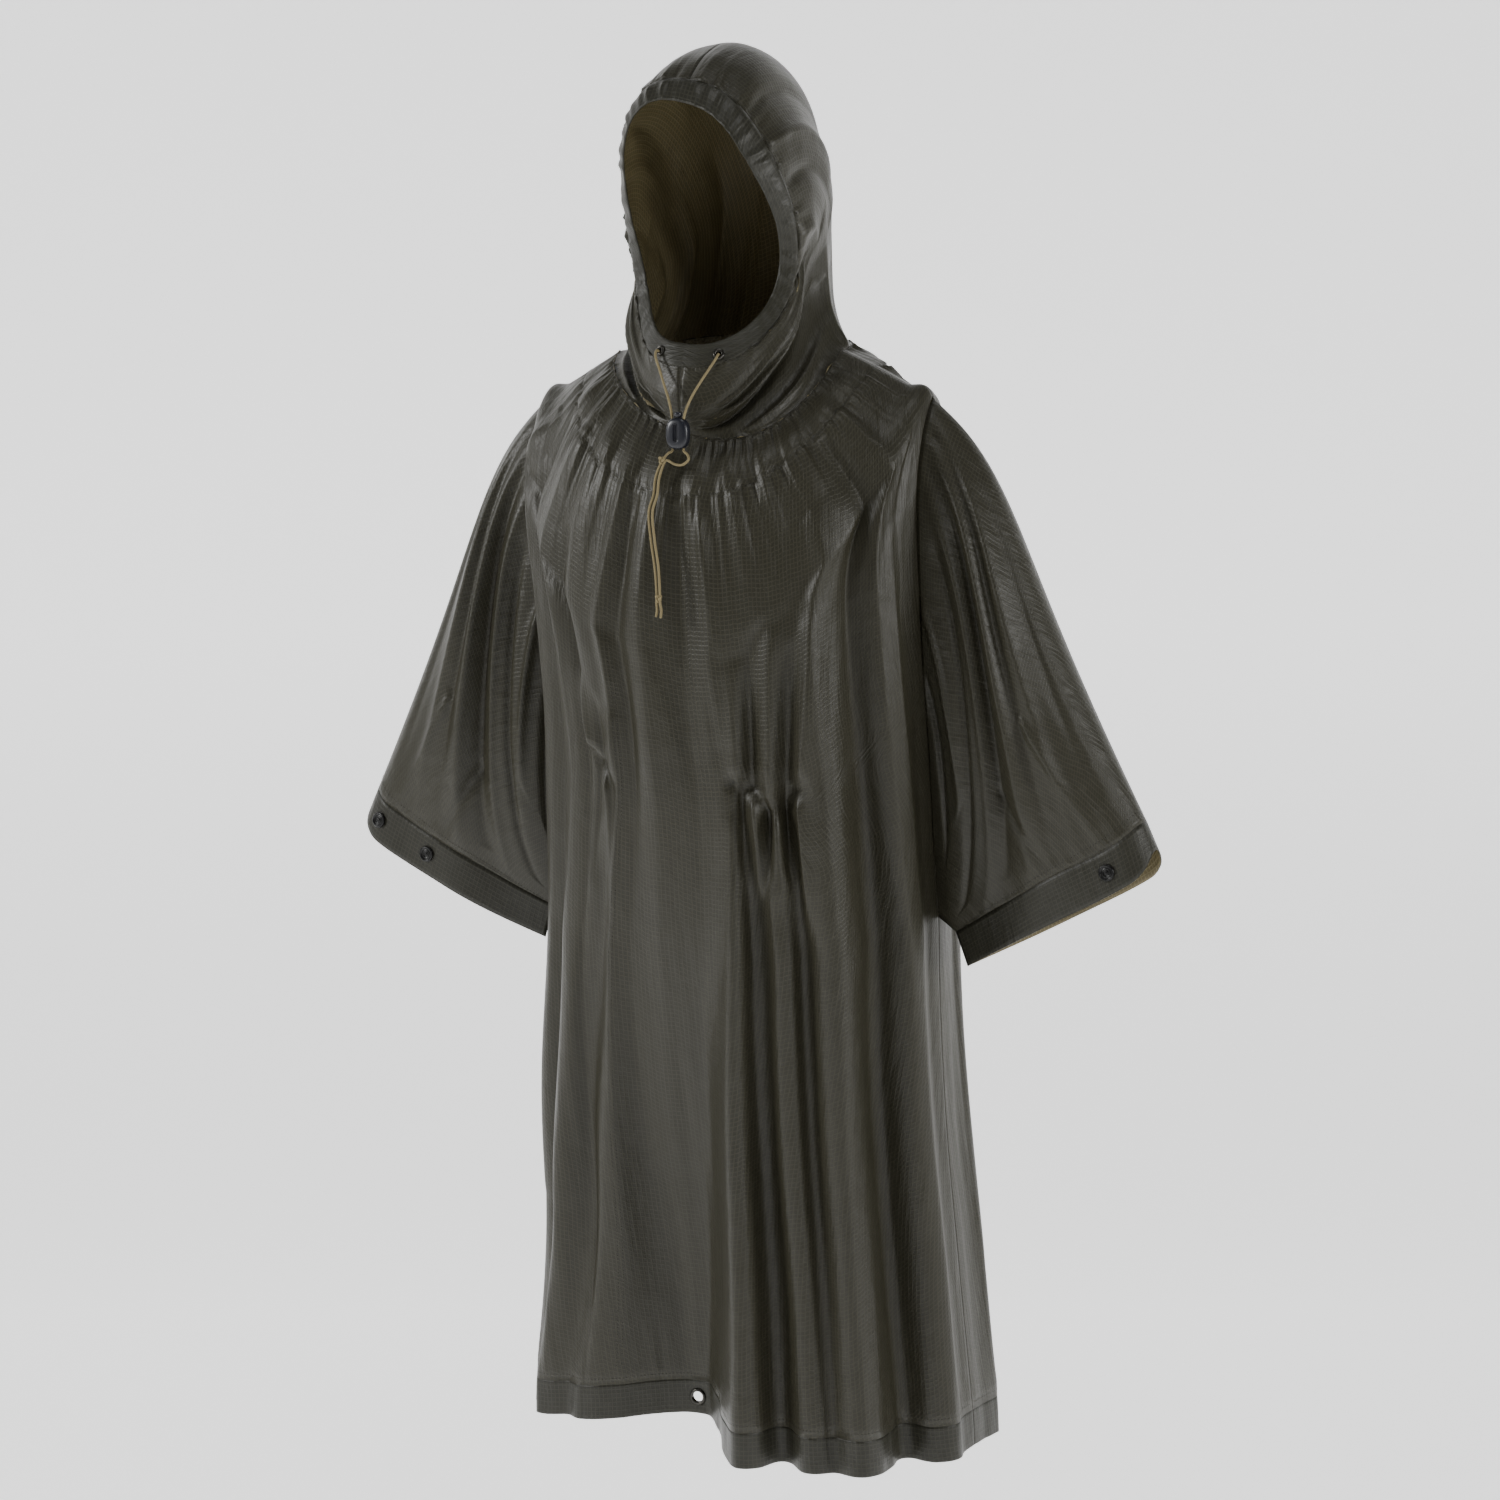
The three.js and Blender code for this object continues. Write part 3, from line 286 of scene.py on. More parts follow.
# Weave: the ripstop's squares, in metres, and how strongly the coated cloth shines
RIPSTOP = 0.0045
CLOTH_GLOSS = 0.34


def clamp01(value):
    return np.clip(value, 0.0, 1.0)


def smooth(value):
    t = clamp01(value)
    return t * t * (3 - 2 * t)


def round_end(value):
    t = 1 - clamp01(value)
    return np.sqrt(1 - t * t)


def read_row(rows, at):
    """All the columns of a table at any level, on the same smooth cubic as the solids use."""
    knots = rows["at"]
    at = np.asarray(at, float)
    index = np.clip(np.searchsorted(knots, at, side="left") - 1, 0, len(knots) - 2)
    span = knots[index + 1] - knots[index]
    t = (at - knots[index]) / span
    before = np.maximum(np.arange(len(knots)) - 1, 0)
    after = np.minimum(np.arange(len(knots)) + 1, len(knots) - 1)
    result = {}
    for name, values in rows.items():
        slopes = (values[after] - values[before]) / (knots[after] - knots[before])
        start = slopes[index] * span
        end = slopes[index + 1] * span
        rise = values[index + 1] - values[index]
        bend = start + end - 2 * rise
        lift = rise - start - bend
        result[name] = values[index] + t * (start + t * (lift + t * bend))
    return result


def stack(x, y, z):
    return np.stack(np.broadcast_arrays(x, y, z), -1).astype(float)


def unit(vectors):
    return vectors / np.maximum(np.linalg.norm(vectors, axis=-1, keepdims=True), 1e-9)


def bell(distance, width):
    return np.exp(-((distance / width) ** 2))


def value_noise(x, y, seed):
    """Smooth noise from -1 to 1 on a unit lattice, the same every run."""
    lattice = np.random.default_rng(seed).uniform(-1, 1, (64, 64))
    x0 = np.floor(x).astype(int)
    y0 = np.floor(y).astype(int)
    fx = smooth(x - x0)
    fy = smooth(y - y0)
    a = lattice[x0 % 64, y0 % 64]
    b = lattice[(x0 + 1) % 64, y0 % 64]
    c = lattice[x0 % 64, (y0 + 1) % 64]
    d = lattice[(x0 + 1) % 64, (y0 + 1) % 64]
    return (a * (1 - fx) + b * fx) * (1 - fy) + (c * (1 - fx) + d * fx) * fy


def gap_profile(p):
    return round_end(p / TOP_ROUNDING) * np.sin(clamp01((1 - p) / BOTTOM_CLOSING) * math.pi / 2)


def body_base(is_front, across, level):
    across, level = np.broadcast_arrays(np.asarray(across, float), np.asarray(level, float))
    row = read_row(BODY_SECTIONS, level)
    opening = ARMHOLE_HALF_GAP * gap_profile(clamp01(level - SHOULDER_LEVEL))
    depth = (row["front_y"] if is_front else row["back_y"]) - row["side_y"]
    turn = np.arccos((opening / np.abs(depth)) ** (1 / SECTION_POWER))
    angle = np.minimum(np.abs(across), 1) * turn
    cosine = np.maximum(np.cos(angle), 0)
    fall = (row["front_z"] if is_front else row["back_z"]) - row["side_z"]
    x = row["centre_x"] + np.sign(across) * row["half_width"] * np.sin(angle) ** SECTION_POWER
    lean = row["tilt"] * x * cosine ** SECTION_POWER if is_front else 0
    y = row["side_y"] + depth * cosine ** SECTION_POWER
    return stack(x, y, row["side_z"] + fall * cosine ** RIDGE_POWER + lean)


def body_normal(is_front, across, level):
    step = 0.01
    a = np.clip(across, -0.98, 0.98)
    l = np.maximum(level, 0.02)
    along_across = body_base(is_front, a + step, l) - body_base(is_front, a - step, l)
    along_level = body_base(is_front, a, l + step) - body_base(is_front, a, l - step)
    normal = unit(np.cross(along_level, along_across))
    return normal if is_front else -normal


def rows_of(rows):
    names = [name for name in rows]
    for values in zip(*(rows[name] for name in names)):
        yield dict(zip(names, values))


def fold_height(folds, gathers, across, level):
    height = np.zeros(np.broadcast(across, level).shape)
    for fold in rows_of(folds):
        centre = fold["top"] + (fold["bottom"] - fold["top"]) * clamp01((level - SHOULDER_LEVEL) / 2)
        width = np.where(across < centre, fold["right"], fold["left"])
        grown = smooth((level - fold["start"]) / (fold["full"] - fold["start"]))
        height = height + fold["height"] * grown * bell(across - centre, width)
    for gather in rows_of(gathers):
        rise = smooth(level / 0.3)
        fade = 1 - smooth((level - 0.3) / (gather["reach"] - 0.3))
        spread = gather["width"] * (1 + 0.3 * level)
        height = height + gather["height"] * rise * fade * bell(across - gather["across"], spread)
    return height * (1 - np.abs(across) ** 8)


def body_point(is_front, across, level):
    folds = FRONT_FOLDS if is_front else BACK_FOLDS
    gathers = FRONT_GATHERS if is_front else BACK_GATHERS
    height = fold_height(folds, gathers, across, level)
    point = body_base(is_front, across, level)
    point[..., 2] += HEM_LIFT * np.maximum(-height, 0) * smooth(level - UNDERARM_LEVEL)
    return point + body_normal(is_front, across, level) * height[..., None]


def crease_height(creases, across, level, scale_across, scale_level):
    """Soft ridges and troughs along straight runs, tapering to nothing at both ends."""
    x = across * scale_across
    y = level * scale_level
    height = np.zeros(np.broadcast(across, level).shape)
    for crease in rows_of(creases):
        x0 = crease["across_0"] * scale_across
        y0 = crease["level_0"] * scale_level
        dx = crease["across_1"] * scale_across - x0
        dy = crease["level_1"] * scale_level - y0
        length = math.hypot(dx, dy)
        t = ((x - x0) * dx + (y - y0) * dy) / length ** 2
        off = ((x - x0) * dy - (y - y0) * dx) / length
        taper = np.sqrt(clamp01(np.minimum(t * 6 + 0.4, (1 - t) * 1.6))) * (t > -0.07) * (t < 1)
        spread = crease["width"] * (1 + 0.7 * clamp01(t))
        sharp = np.exp(-((np.abs(off) / spread) ** CREASE_SHARPNESS))
        height = height + CREASE_DEPTH * crease["height"] * taper * sharp
    return height


def pucker_height(across, level, edge_level, direction, count, seed, reach, tall):
    """Fine gathers that run out of a stitched edge, uneven in place, width and reach."""
    rng = np.random.default_rng(seed)
    gone = np.maximum((level - edge_level) * direction, 0)
    height = np.zeros(np.broadcast(across, level).shape)
    for index in range(count):
        place = -1 + 2 * (index + rng.uniform(0.15, 0.85)) / count
        width = rng.uniform(0.25, 0.5) / count
        length = reach * rng.uniform(0.35, 1.3)
        drift = rng.uniform(-0.35, 0.35) / count
        sign = 1 if index % 2 else -0.8
        fade = np.exp(-gone / length) * smooth(gone / (reach * 0.06))
        centre = place + drift * gone / reach
        height = height + sign * tall * rng.uniform(0.5, 1.2) * fade * bell(across - centre, width)
    return height


def panel_detail(is_front, across, level):
    creases = FRONT_CREASES if is_front else BACK_CREASES
    seed = 11 if is_front else 47
    height = crease_height(creases, across, level, 310.0, 330.0)
    height = height + pucker_height(across, level, 0.0, 1, 74, seed, 0.17, 2.6)
    below = np.where(level > YOKE_STITCH_LEVEL, level, YOKE_STITCH_LEVEL)
    height = height + pucker_height(across, below, YOKE_STITCH_LEVEL, 1, 66, seed + 1, 0.24, 2.8)
    above = np.where(level < YOKE_STITCH_LEVEL, level, YOKE_STITCH_LEVEL)
    height = height + pucker_height(across, above, YOKE_STITCH_LEVEL, -1, 62, seed + 2, 0.07, 1.7)
    height = height + pucker_height(across, level, HEM_STITCH_LEVEL, -1, 46, seed + 3, 0.05, 1.6)
    height = height - 1.4 * bell(level - YOKE_STITCH_LEVEL, 0.012)
    drift = 0.05 * value_noise(across * 3 + 7, level * 2.2 + 1, seed + 6)
    long_noise = value_noise((across + drift) * 11 + 3, level * 1.1 + 5, seed + 4)
    short_noise = value_noise((across + drift) * 24 + 9, level * 3 + 2, seed + 5)
    height = height + (2.4 * long_noise + 1.1 * short_noise) * smooth(level / 0.5)
    if is_front:
        calm_across = (across - HEM_EYELET_AT[0]) * 14
        calm_level = (level - HEM_EYELET_AT[1]) * 14
        height = height * (1 - bell(np.hypot(calm_across, calm_level), 1.0))
    return height * (1 - np.abs(across) ** 12) * smooth(level / 0.02)


def grid_normals(points, wrap=False):
    """Unit normals of a grid of points, from its neighbours down and across."""
    down = np.gradient(points, axis=0)
    if wrap:
        over = np.roll(points, -1, axis=1) - np.roll(points, 1, axis=1)
    else:
        over = np.gradient(points, axis=1)
    return unit(np.cross(down, over))


def panel_points(is_front, across, level):
    points = body_point(is_front, across, level)
    normal = grid_normals(points)
    if not is_front:
        normal = -normal
    return points + normal * panel_detail(is_front, across, level)[..., None]


def sleeve_point(side, is_front, around, along):
    across = np.full(np.broadcast(around, along).shape, float(side))
    start = body_point(is_front, across, SHOULDER_LEVEL + around)
    stitch = read_row(CUFF_STITCH, around)
    facing = -1 if is_front else 1
    gap = gap_profile(around)
    end = stack(side * stitch["x"], stitch["y"] + facing * CUFF_HALF_GAP * gap, stitch["z"])
    point = start + (end - start) * along[..., None]
    bulge = RIDGE_BULGE * (along / RIDGE_BULGE_AT) * np.exp(1 - along / RIDGE_BULGE_AT)
    point[..., 0] += side * bulge * (1 - around) ** 2 * (1 - along)
    out = (SLEEVE_FULLNESS - ARMHOLE_HALF_GAP) * np.sin(math.pi * along) * gap
    for fold in rows_of(SLEEVE_FOLDS):
        centre = fold["cuff_at"] * along ** 0.7
        spread = bell(around - centre, fold["width"])
        out = out + fold["height"] * smooth(along * 1.4) * spread * gap * (1 - 0.7 * along * along)
    point[..., 1] += facing * out
    return point


def cuff_point(side, is_front, around, along):
    start = sleeve_point(side, is_front, around, np.ones_like(along))
    edge = read_row(CUFF_EDGE, around)
    facing = -1 if is_front else 1
    end = stack(side * edge["x"], edge["y"] + facing * CUFF_HALF_GAP * gap_profile(around), edge["z"])
    return start + (end - start) * along[..., None]


def around_ring(build, count, rows):
    """Front half then back half of a sleeve's ring, from the ridge round and back to it."""
    steps = (np.arange(count) / count) ** 1.25
    back_steps = (np.arange(count, 0, -1) / count) ** 1.25
    front = build(True, *np.meshgrid(steps, rows))
    back = build(False, *np.meshgrid(back_steps, rows))
    return np.concatenate([front, back], axis=1)


SLEEVE_CREASES = table(CREASE_COLUMNS, [
    (0.02, 0.05, 0.3, 0.98, 7, 4),
    (0.05, 0.05, 0.42, 0.96, 7, -4),
    (0.08, 0.08, 0.55, 0.97, 8, 5),
    (0.12, 0.06, 0.66, 0.9, 7, -5),
    (0.2, 0.08, 0.8, 0.95, 8, 4),
    (0.3, 0.1, 0.9, 0.8, 7, -4),
    (0.02, 0.1, 0.12, 0.9, 6, -3),
    (0.45, 0.03, 0.7, 0.45, 7, 5),
    (0.6, 0.02, 0.85, 0.35, 7, -4),
    (0.25, 0.6, 0.2, 0.99, 6, 3),
    (0.5, 0.65, 0.46, 0.99, 6, -3),
])


def sleeve_detail(is_front, around, along, seed):
    height = crease_height(SLEEVE_CREASES, around, along, 330.0, 420.0)
    height = height + pucker_height(around * 2 - 1, along, 1.0, -1, 26, seed, 0.05, 1.6)
    height = height + pucker_height(around * 2 - 1, along, 0.0, 1, 16, seed + 1, 0.1, 1.2)
    height = height + 1.0 * value_noise(around * 9 + 3, along * 2 + 1, seed + 2)
    ends = smooth(around / 0.04) * smooth((1 - around) / 0.05)
    return height * ends * smooth(along / 0.02) * smooth((1 - along) / 0.02)


def sleeve_surface(side, is_front, around, along, seed):
    points = sleeve_point(side, is_front, around, along)
    facing = -1 if is_front else 1
    detail = sleeve_detail(is_front, around, along, seed + (0 if is_front else 31))
    points[..., 1] += facing * detail
    return points


def hood_base(side, turn, level):
    row = read_row(HOOD_SECTIONS, level)
    angle = turn * math.pi
    sine = np.maximum(np.sin(angle), 0)
    cosine = np.cos(angle)
    x = side * row["half_width"] * sine ** row["power"]
    y = (row["near_y"] + row["far_y"]) / 2 - (row["far_y"] - row["near_y"]) / 2 * cosine
    z = (row["near_z"] + row["far_z"]) / 2 - (row["far_z"] - row["near_z"]) / 2 * cosine
    y = y + (row["side_y"] + row["low_y"] * cosine) * sine * sine
    z = z + row["side_z"] * sine * sine + row["tilt"] * x * np.maximum(cosine, 0)
    z = z + row["brow_tilt"] * x * np.maximum(-cosine, 0)
    return stack(x, y, z)


def hood_surface(side, turn, level):
    turn, level = np.broadcast_arrays(np.asarray(turn, float), np.asarray(level, float))
    point = hood_base(side, turn, level)
    front = body_base(True, side * np.minimum(turn * 2, 1), np.zeros_like(turn))
    back = body_base(False, side * np.minimum((1 - turn) * 2, 1), np.zeros_like(turn))
    seam = np.where((turn <= 0.5)[..., None], front, back)
    settle = smooth((level - NECK_SETTLE_FROM) / (1 - NECK_SETTLE_FROM))[..., None]
    point = point + (seam - point) * settle
    middle = stack(0, -10, np.minimum(point[..., 2], 110))
    outward = unit(point - middle)
    height = np.zeros(turn.shape)
    for fold in rows_of(HOOD_FOLDS):
        centre = fold["around"] + fold["turn"] * level
        height = height + fold["height"] * bell(turn - centre, fold["width"])
    swell = np.sin(math.pi * clamp01((level - 0.1) / 0.9))
    return point + outward * (height * swell)[..., None]


HOOD_CREASES = table(CREASE_COLUMNS, [
    (0.1, 0.75, 0.42, 0.55, 7, 6),
    (0.08, 0.82, 0.5, 0.7, 6, -6),
    (0.14, 0.6, 0.45, 0.42, 6, 4),
    (0.2, 0.9, 0.55, 0.85, 6, 4),
    (0.38, 0.12, 0.45, 0.5, 6, -4),
    (0.48, 0.12, 0.5, 0.62, 7, 4),
    (0.6, 0.12, 0.58, 0.6, 7, -4),
    (0.7, 0.12, 0.64, 0.55, 7, 4),
    (0.8, 0.12, 0.74, 0.5, 7, -3),
    (0.55, 0.95, 0.52, 0.5, 8, 5),
    (0.66, 0.97, 0.62, 0.6, 8, -5),
    (0.8, 0.97, 0.76, 0.6, 8, 5),
    (0.9, 0.97, 0.9, 0.65, 8, -4),
])


def hood_detail(turn, level, seed):
    height = crease_height(HOOD_CREASES, turn, level, 420.0, 380.0)
    height = height + pucker_height(turn * 2 - 1, level, FACE_HEM_LEVEL, 1, 30, seed, 0.07, 3.0)
    height = height + pucker_height(turn * 2 - 1, level, 1.0, -1, 26, seed + 1, 0.06, 2.6)
    height = height + 1.3 * value_noise(turn * 12 + 3, level * 5 + 1, seed + 2)
    ends = smooth(turn / 0.03) * smooth((1 - turn) / 0.03)
    edges = smooth((level - FACE_HEM_LEVEL) / 0.01) * smooth((1 - level) / 0.01)
    return height * ends * edges


def face_hem_points(whole, t):
    """The drawn tunnel round the face, with uneven puckers all round it."""
    side = np.where(whole <= 1, 1.0, -1.0)
    turn = np.where(whole <= 1, whole, 2 - whole)
    points = np.where(
        (side > 0)[..., None],
        hood_surface(1, turn, FACE_HEM_LEVEL * t),
        hood_surface(-1, turn, FACE_HEM_LEVEL * t),
    )
    middle = stack(0, points[..., 1] + 40, np.clip(points[..., 2], 60, 200))
    outward = unit(points - middle)
    rng = np.random.default_rng(5)
    pucker = np.zeros(whole.shape)
    count = 46
    for index in range(count):
        place = 2 * (index + rng.uniform(0.2, 0.8)) / count
        distance = np.abs((whole - place + 1) % 2 - 1)
        pucker = pucker + rng.uniform(1.2, 2.6) * bell(distance, rng.uniform(0.008, 0.016))
    plain = smooth((turn - 0.13) / 0.1)
    height = TUNNEL_BULGE + (pucker - 1.0) * plain
    return points + outward * (height * np.sin(math.pi * clamp01(t)) ** 0.7)[..., None]


def lengths_along(points, axis, wrap=False):
    """Running length along an axis of a grid, for the weave's coordinates."""
    if wrap:
        points = np.concatenate([points, points[:, :1]], axis=1)
    steps = np.linalg.norm(np.diff(points, axis=axis), axis=-1)
    zero = np.zeros_like(np.take(steps, [0], axis=axis))
    return np.concatenate([zero, np.cumsum(steps, axis=axis)], axis=axis)


def weave_uv(points, wrap=False):
    over = lengths_along(points, 1, wrap)
    down = lengths_along(points, 0)
    if wrap:
        down = np.concatenate([down, down[:, :1]], axis=1)
    middle = over[:, over.shape[1] // 2][:, None]
    return np.stack([over - middle, down], -1) * MM


def grid_mesh(name, points, uv, wrap=False, flip=False):
    rows, columns = points.shape[:2]
    spans = columns if wrap else columns - 1
    j, i = np.meshgrid(np.arange(rows - 1), np.arange(spans), indexing="ij")
    n = (i + 1) % columns
    a, b, c, d = j * columns + i, (j + 1) * columns + i, (j + 1) * columns + n, j * columns + n
    uv_corners = [uv[j, i], uv[j + 1, i], uv[j + 1, i + 1], uv[j, i + 1]]
    corners = [a, b, c, d]
    if flip:
        corners = corners[::-1]
        uv_corners = uv_corners[::-1]
    quads = np.stack(corners, -1).reshape(-1, 4)
    loops_uv = np.stack(uv_corners, -2).reshape(-1, 2)
    mesh = bpy.data.meshes.new(name)
    mesh.vertices.add(rows * columns)
    mesh.vertices.foreach_set("co", (points.reshape(-1, 3) * MM).ravel())
    mesh.loops.add(quads.size)
    mesh.loops.foreach_set("vertex_index", quads.ravel())
    mesh.polygons.add(len(quads))
    mesh.polygons.foreach_set("loop_start", np.arange(len(quads)) * 4)
    layer = mesh.uv_layers.new(name="weave")
    layer.data.foreach_set("uv", loops_uv.ravel())
    mesh.update(calc_edges=True)
    mesh.validate()
    mesh.shade_smooth()
    return mesh


def new_object(name, mesh, materials):
    obj = bpy.data.objects.new(name, mesh)
    bpy.context.scene.collection.objects.link(obj)
    for material in materials:
        mesh.materials.append(material)
    return obj


def add_piece(obj, slot, *nodes):
    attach(obj, "root")
    if nodes:
        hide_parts(*nodes)
    return obj


def add_cloth(name, node, points, thickness, wrap=False, flip=False, slot="cloth", materials=()):
    """A panel: its outer face on the grid, given a thin wall inwards, hung on the root, with its cut solid hidden."""
    mesh = grid_mesh(name, points, weave_uv(points, wrap), wrap, flip)
    obj = new_object(name, mesh, materials)
    wall = obj.modifiers.new("wall", "SOLIDIFY")
    wall.thickness = thickness
    wall.offset = -1
    wall.material_offset = 1 if len(materials) > 1 else 0
    add_piece(obj, slot, node)
    return obj


def node_material(name):
    material = bpy.data.materials.new(name)
    material.use_nodes = True
    nodes = material.node_tree.nodes
    shader = nodes["Principled BSDF"]
    return material, nodes, material.node_tree.links, shader


def math_node(nodes, links, operation, first, second=None):
    node = nodes.new("ShaderNodeMath")
    node.operation = operation
    for index, value in enumerate((first, second)):
        if value is None:
            continue
        if isinstance(value, (int, float)):
            node.inputs[index].default_value = value
        else:
            links.new(value, node.inputs[index])
    return node.outputs[0]


def ripstop_lines(nodes, links, coordinate, width):
    """One where a thicker thread runs, nought in the squares between."""
    scaled = math_node(nodes, links, "MULTIPLY", coordinate, 1 / RIPSTOP)
    cell = math_node(nodes, links, "FRACT", scaled)
    centred = math_node(nodes, links, "ABSOLUTE", math_node(nodes, links, "SUBTRACT", cell, 0.5))
    ramp = nodes.new("ShaderNodeMapRange")
    ramp.interpolation_type = "SMOOTHSTEP"
    ramp.inputs["From Min"].default_value = 0.5 - width
    ramp.inputs["From Max"].default_value = 0.5 - width * 0.35
    links.new(centred, ramp.inputs["Value"])
    return ramp.outputs["Result"]


def noise_node(nodes, links, vector, scale, detail=3.0):
    noise = nodes.new("ShaderNodeTexNoise")
    noise.inputs["Scale"].default_value = scale
    noise.inputs["Detail"].default_value = detail
    links.new(vector, noise.inputs["Vector"])
    return noise.outputs["Fac"]


def mix_colours(nodes, links, factor, first, second):
    mix = nodes.new("ShaderNodeMix")
    mix.data_type = "RGBA"
    for socket, colour in ((mix.inputs[6], first), (mix.inputs[7], second)):
        if isinstance(colour, tuple):
            socket.default_value = (*colour, 1)
        else:
            links.new(colour, socket)
    links.new(factor, mix.inputs[0])
    return mix.outputs[2]


def cloth_material(name, dark, light, thread, roughness, line_bump):
    """Coated ripstop: plain weave with a grid of thicker threads, a soft gloss and faint mottling."""
    material, nodes, links, shader = node_material(name)
    uv = nodes.new("ShaderNodeUVMap")
    uv.uv_map = "weave"
    split = nodes.new("ShaderNodeSeparateXYZ")
    links.new(uv.outputs["UV"], split.inputs["Vector"])
    across = ripstop_lines(nodes, links, split.outputs["X"], 0.16)
    down = ripstop_lines(nodes, links, split.outputs["Y"], 0.16)
    lines = math_node(nodes, links, "MAXIMUM", across, down)
    position = nodes.new("ShaderNodeTexCoord").outputs["Object"]
    mottle = noise_node(nodes, links, position, 9.0)
    cloth_colour = mix_colours(nodes, links, mottle, dark, light)
    faint = math_node(nodes, links, "MULTIPLY", lines, 0.5)
    colour = mix_colours(nodes, links, faint, cloth_colour, thread)
    links.new(colour, shader.inputs["Base Color"])
    grain = noise_node(nodes, links, uv.outputs["UV"], 2600.0, 2.0)
    height = math_node(nodes, links, "ADD", lines, math_node(nodes, links, "MULTIPLY", grain, 0.35))
    stretched = nodes.new("ShaderNodeMapping")
    stretched.inputs["Scale"].default_value = (1.0, 0.16, 1.0)
    links.new(uv.outputs["UV"], stretched.inputs["Vector"])
    streaks = noise_node(nodes, links, stretched.outputs["Vector"], 95.0, 3.0)
    small = noise_node(nodes, links, position, 48.0, 4.0)
    crinkle = math_node(nodes, links, "ADD", streaks, math_node(nodes, links, "MULTIPLY", small, 0.8))
    bump = nodes.new("ShaderNodeBump")
    bump.inputs["Strength"].default_value = line_bump
    bump.inputs["Distance"].default_value = 0.0003
    links.new(height, bump.inputs["Height"])
    soft = nodes.new("ShaderNodeBump")
    soft.inputs["Strength"].default_value = 0.6
    soft.inputs["Distance"].default_value = 0.0017
    links.new(crinkle, soft.inputs["Height"])
    links.new(soft.outputs["Normal"], bump.inputs["Normal"])
    links.new(bump.outputs["Normal"], shader.inputs["Normal"])
    spread = nodes.new("ShaderNodeMapRange")
    spread.inputs["To Min"].default_value = roughness - 0.05
    spread.inputs["To Max"].default_value = roughness + 0.07
    links.new(mottle, spread.inputs["Value"])
    links.new(spread.outputs["Result"], shader.inputs["Roughness"])
    shader.inputs["Specular IOR Level"].default_value = CLOTH_GLOSS
    return material


def speckled_material(name, dark, light, roughness, metallic, scale, bump_depth):
    """Moulded or painted hard parts: faint speckle in the colour, fine grain in the bump."""
    material, nodes, links, shader = node_material(name)
    position = nodes.new("ShaderNodeTexCoord").outputs["Object"]
    speckle = noise_node(nodes, links, position, scale)
    links.new(mix_colours(nodes, links, speckle, dark, light), shader.inputs["Base Color"])
    bump = nodes.new("ShaderNodeBump")
    bump.inputs["Strength"].default_value = 0.3
    bump.inputs["Distance"].default_value = bump_depth
    links.new(speckle, bump.inputs["Height"])
    links.new(bump.outputs["Normal"], shader.inputs["Normal"])
    shader.inputs["Roughness"].default_value = roughness
    shader.inputs["Metallic"].default_value = metallic
    return material


def cord_material():
    """Braided cord: two sets of slanting strands that cross, khaki, with painted shade in the gaps between them."""
    material, nodes, links, shader = node_material("khaki_braid")
    uv = nodes.new("ShaderNodeUVMap")
    uv.uv_map = "weave"
    split = nodes.new("ShaderNodeSeparateXYZ")
    links.new(uv.outputs["UV"], split.inputs["Vector"])
    along = math_node(nodes, links, "MULTIPLY", split.outputs["Y"], 1 / 0.0016)
    round_it = math_node(nodes, links, "MULTIPLY", split.outputs["X"], 4.0)
    strands = []
    for operation in ("ADD", "SUBTRACT"):
        turned = math_node(nodes, links, operation, round_it, along)
        wave = math_node(nodes, links, "SINE", math_node(nodes, links, "MULTIPLY", turned, 2 * math.pi))
        strands.append(wave)
    braid = math_node(nodes, links, "MULTIPLY", strands[0], strands[1])
    level = nodes.new("ShaderNodeMapRange")
    level.inputs["From Min"].default_value = -1.0
    links.new(braid, level.inputs["Value"])
    # Painted shade: the colour goes darker in the gaps between the strands.
    colour = mix_colours(nodes, links, level.outputs["Result"], (0.13, 0.1, 0.045), (0.32, 0.26, 0.13))
    links.new(colour, shader.inputs["Base Color"])
    bump = nodes.new("ShaderNodeBump")
    bump.inputs["Strength"].default_value = 0.6
    bump.inputs["Distance"].default_value = 0.0003
    links.new(level.outputs["Result"], bump.inputs["Height"])
    links.new(bump.outputs["Normal"], shader.inputs["Normal"])
    shader.inputs["Roughness"].default_value = 0.8
    return material


def smooth_path(points, steps):
    """A centripetal curve through points, the same one as the solids' cords follow."""
    knots = np.array(points, float)
    knots = np.vstack([2 * knots[0] - knots[1], knots, 2 * knots[-1] - knots[-2]])
    result = []
    for index in range(len(points) - 1):
        p0, p1, p2, p3 = knots[index:index + 4]
        t1 = np.linalg.norm(p1 - p0) ** 0.5
        t2 = t1 + np.linalg.norm(p2 - p1) ** 0.5
        t3 = t2 + np.linalg.norm(p3 - p2) ** 0.5
        for t in np.linspace(t1, t2, steps, endpoint=False):
            a1 = (t1 - t) / t1 * p0 + t / t1 * p1
            a2 = (t2 - t) / (t2 - t1) * p1 + (t - t1) / (t2 - t1) * p2
            a3 = (t3 - t) / (t3 - t2) * p2 + (t - t2) / (t3 - t2) * p3
            b1 = (t2 - t) / t2 * a1 + t / t2 * a2
            b2 = (t3 - t) / (t3 - t1) * a2 + (t - t1) / (t3 - t1) * a3
            result.append((t2 - t) / (t2 - t1) * b1 + (t - t1) / (t2 - t1) * b2)
    result.append(knots[-2])
    return np.array(result)


def closed_mesh(mesh):
    """Points that fall together, as at a turned piece's axis, become one."""
    work = bmesh.new()
    work.from_mesh(mesh)
    bmesh.ops.remove_doubles(work, verts=work.verts, dist=1e-7)
    work.to_mesh(mesh)
    work.free()
    mesh.shade_smooth()
    return mesh


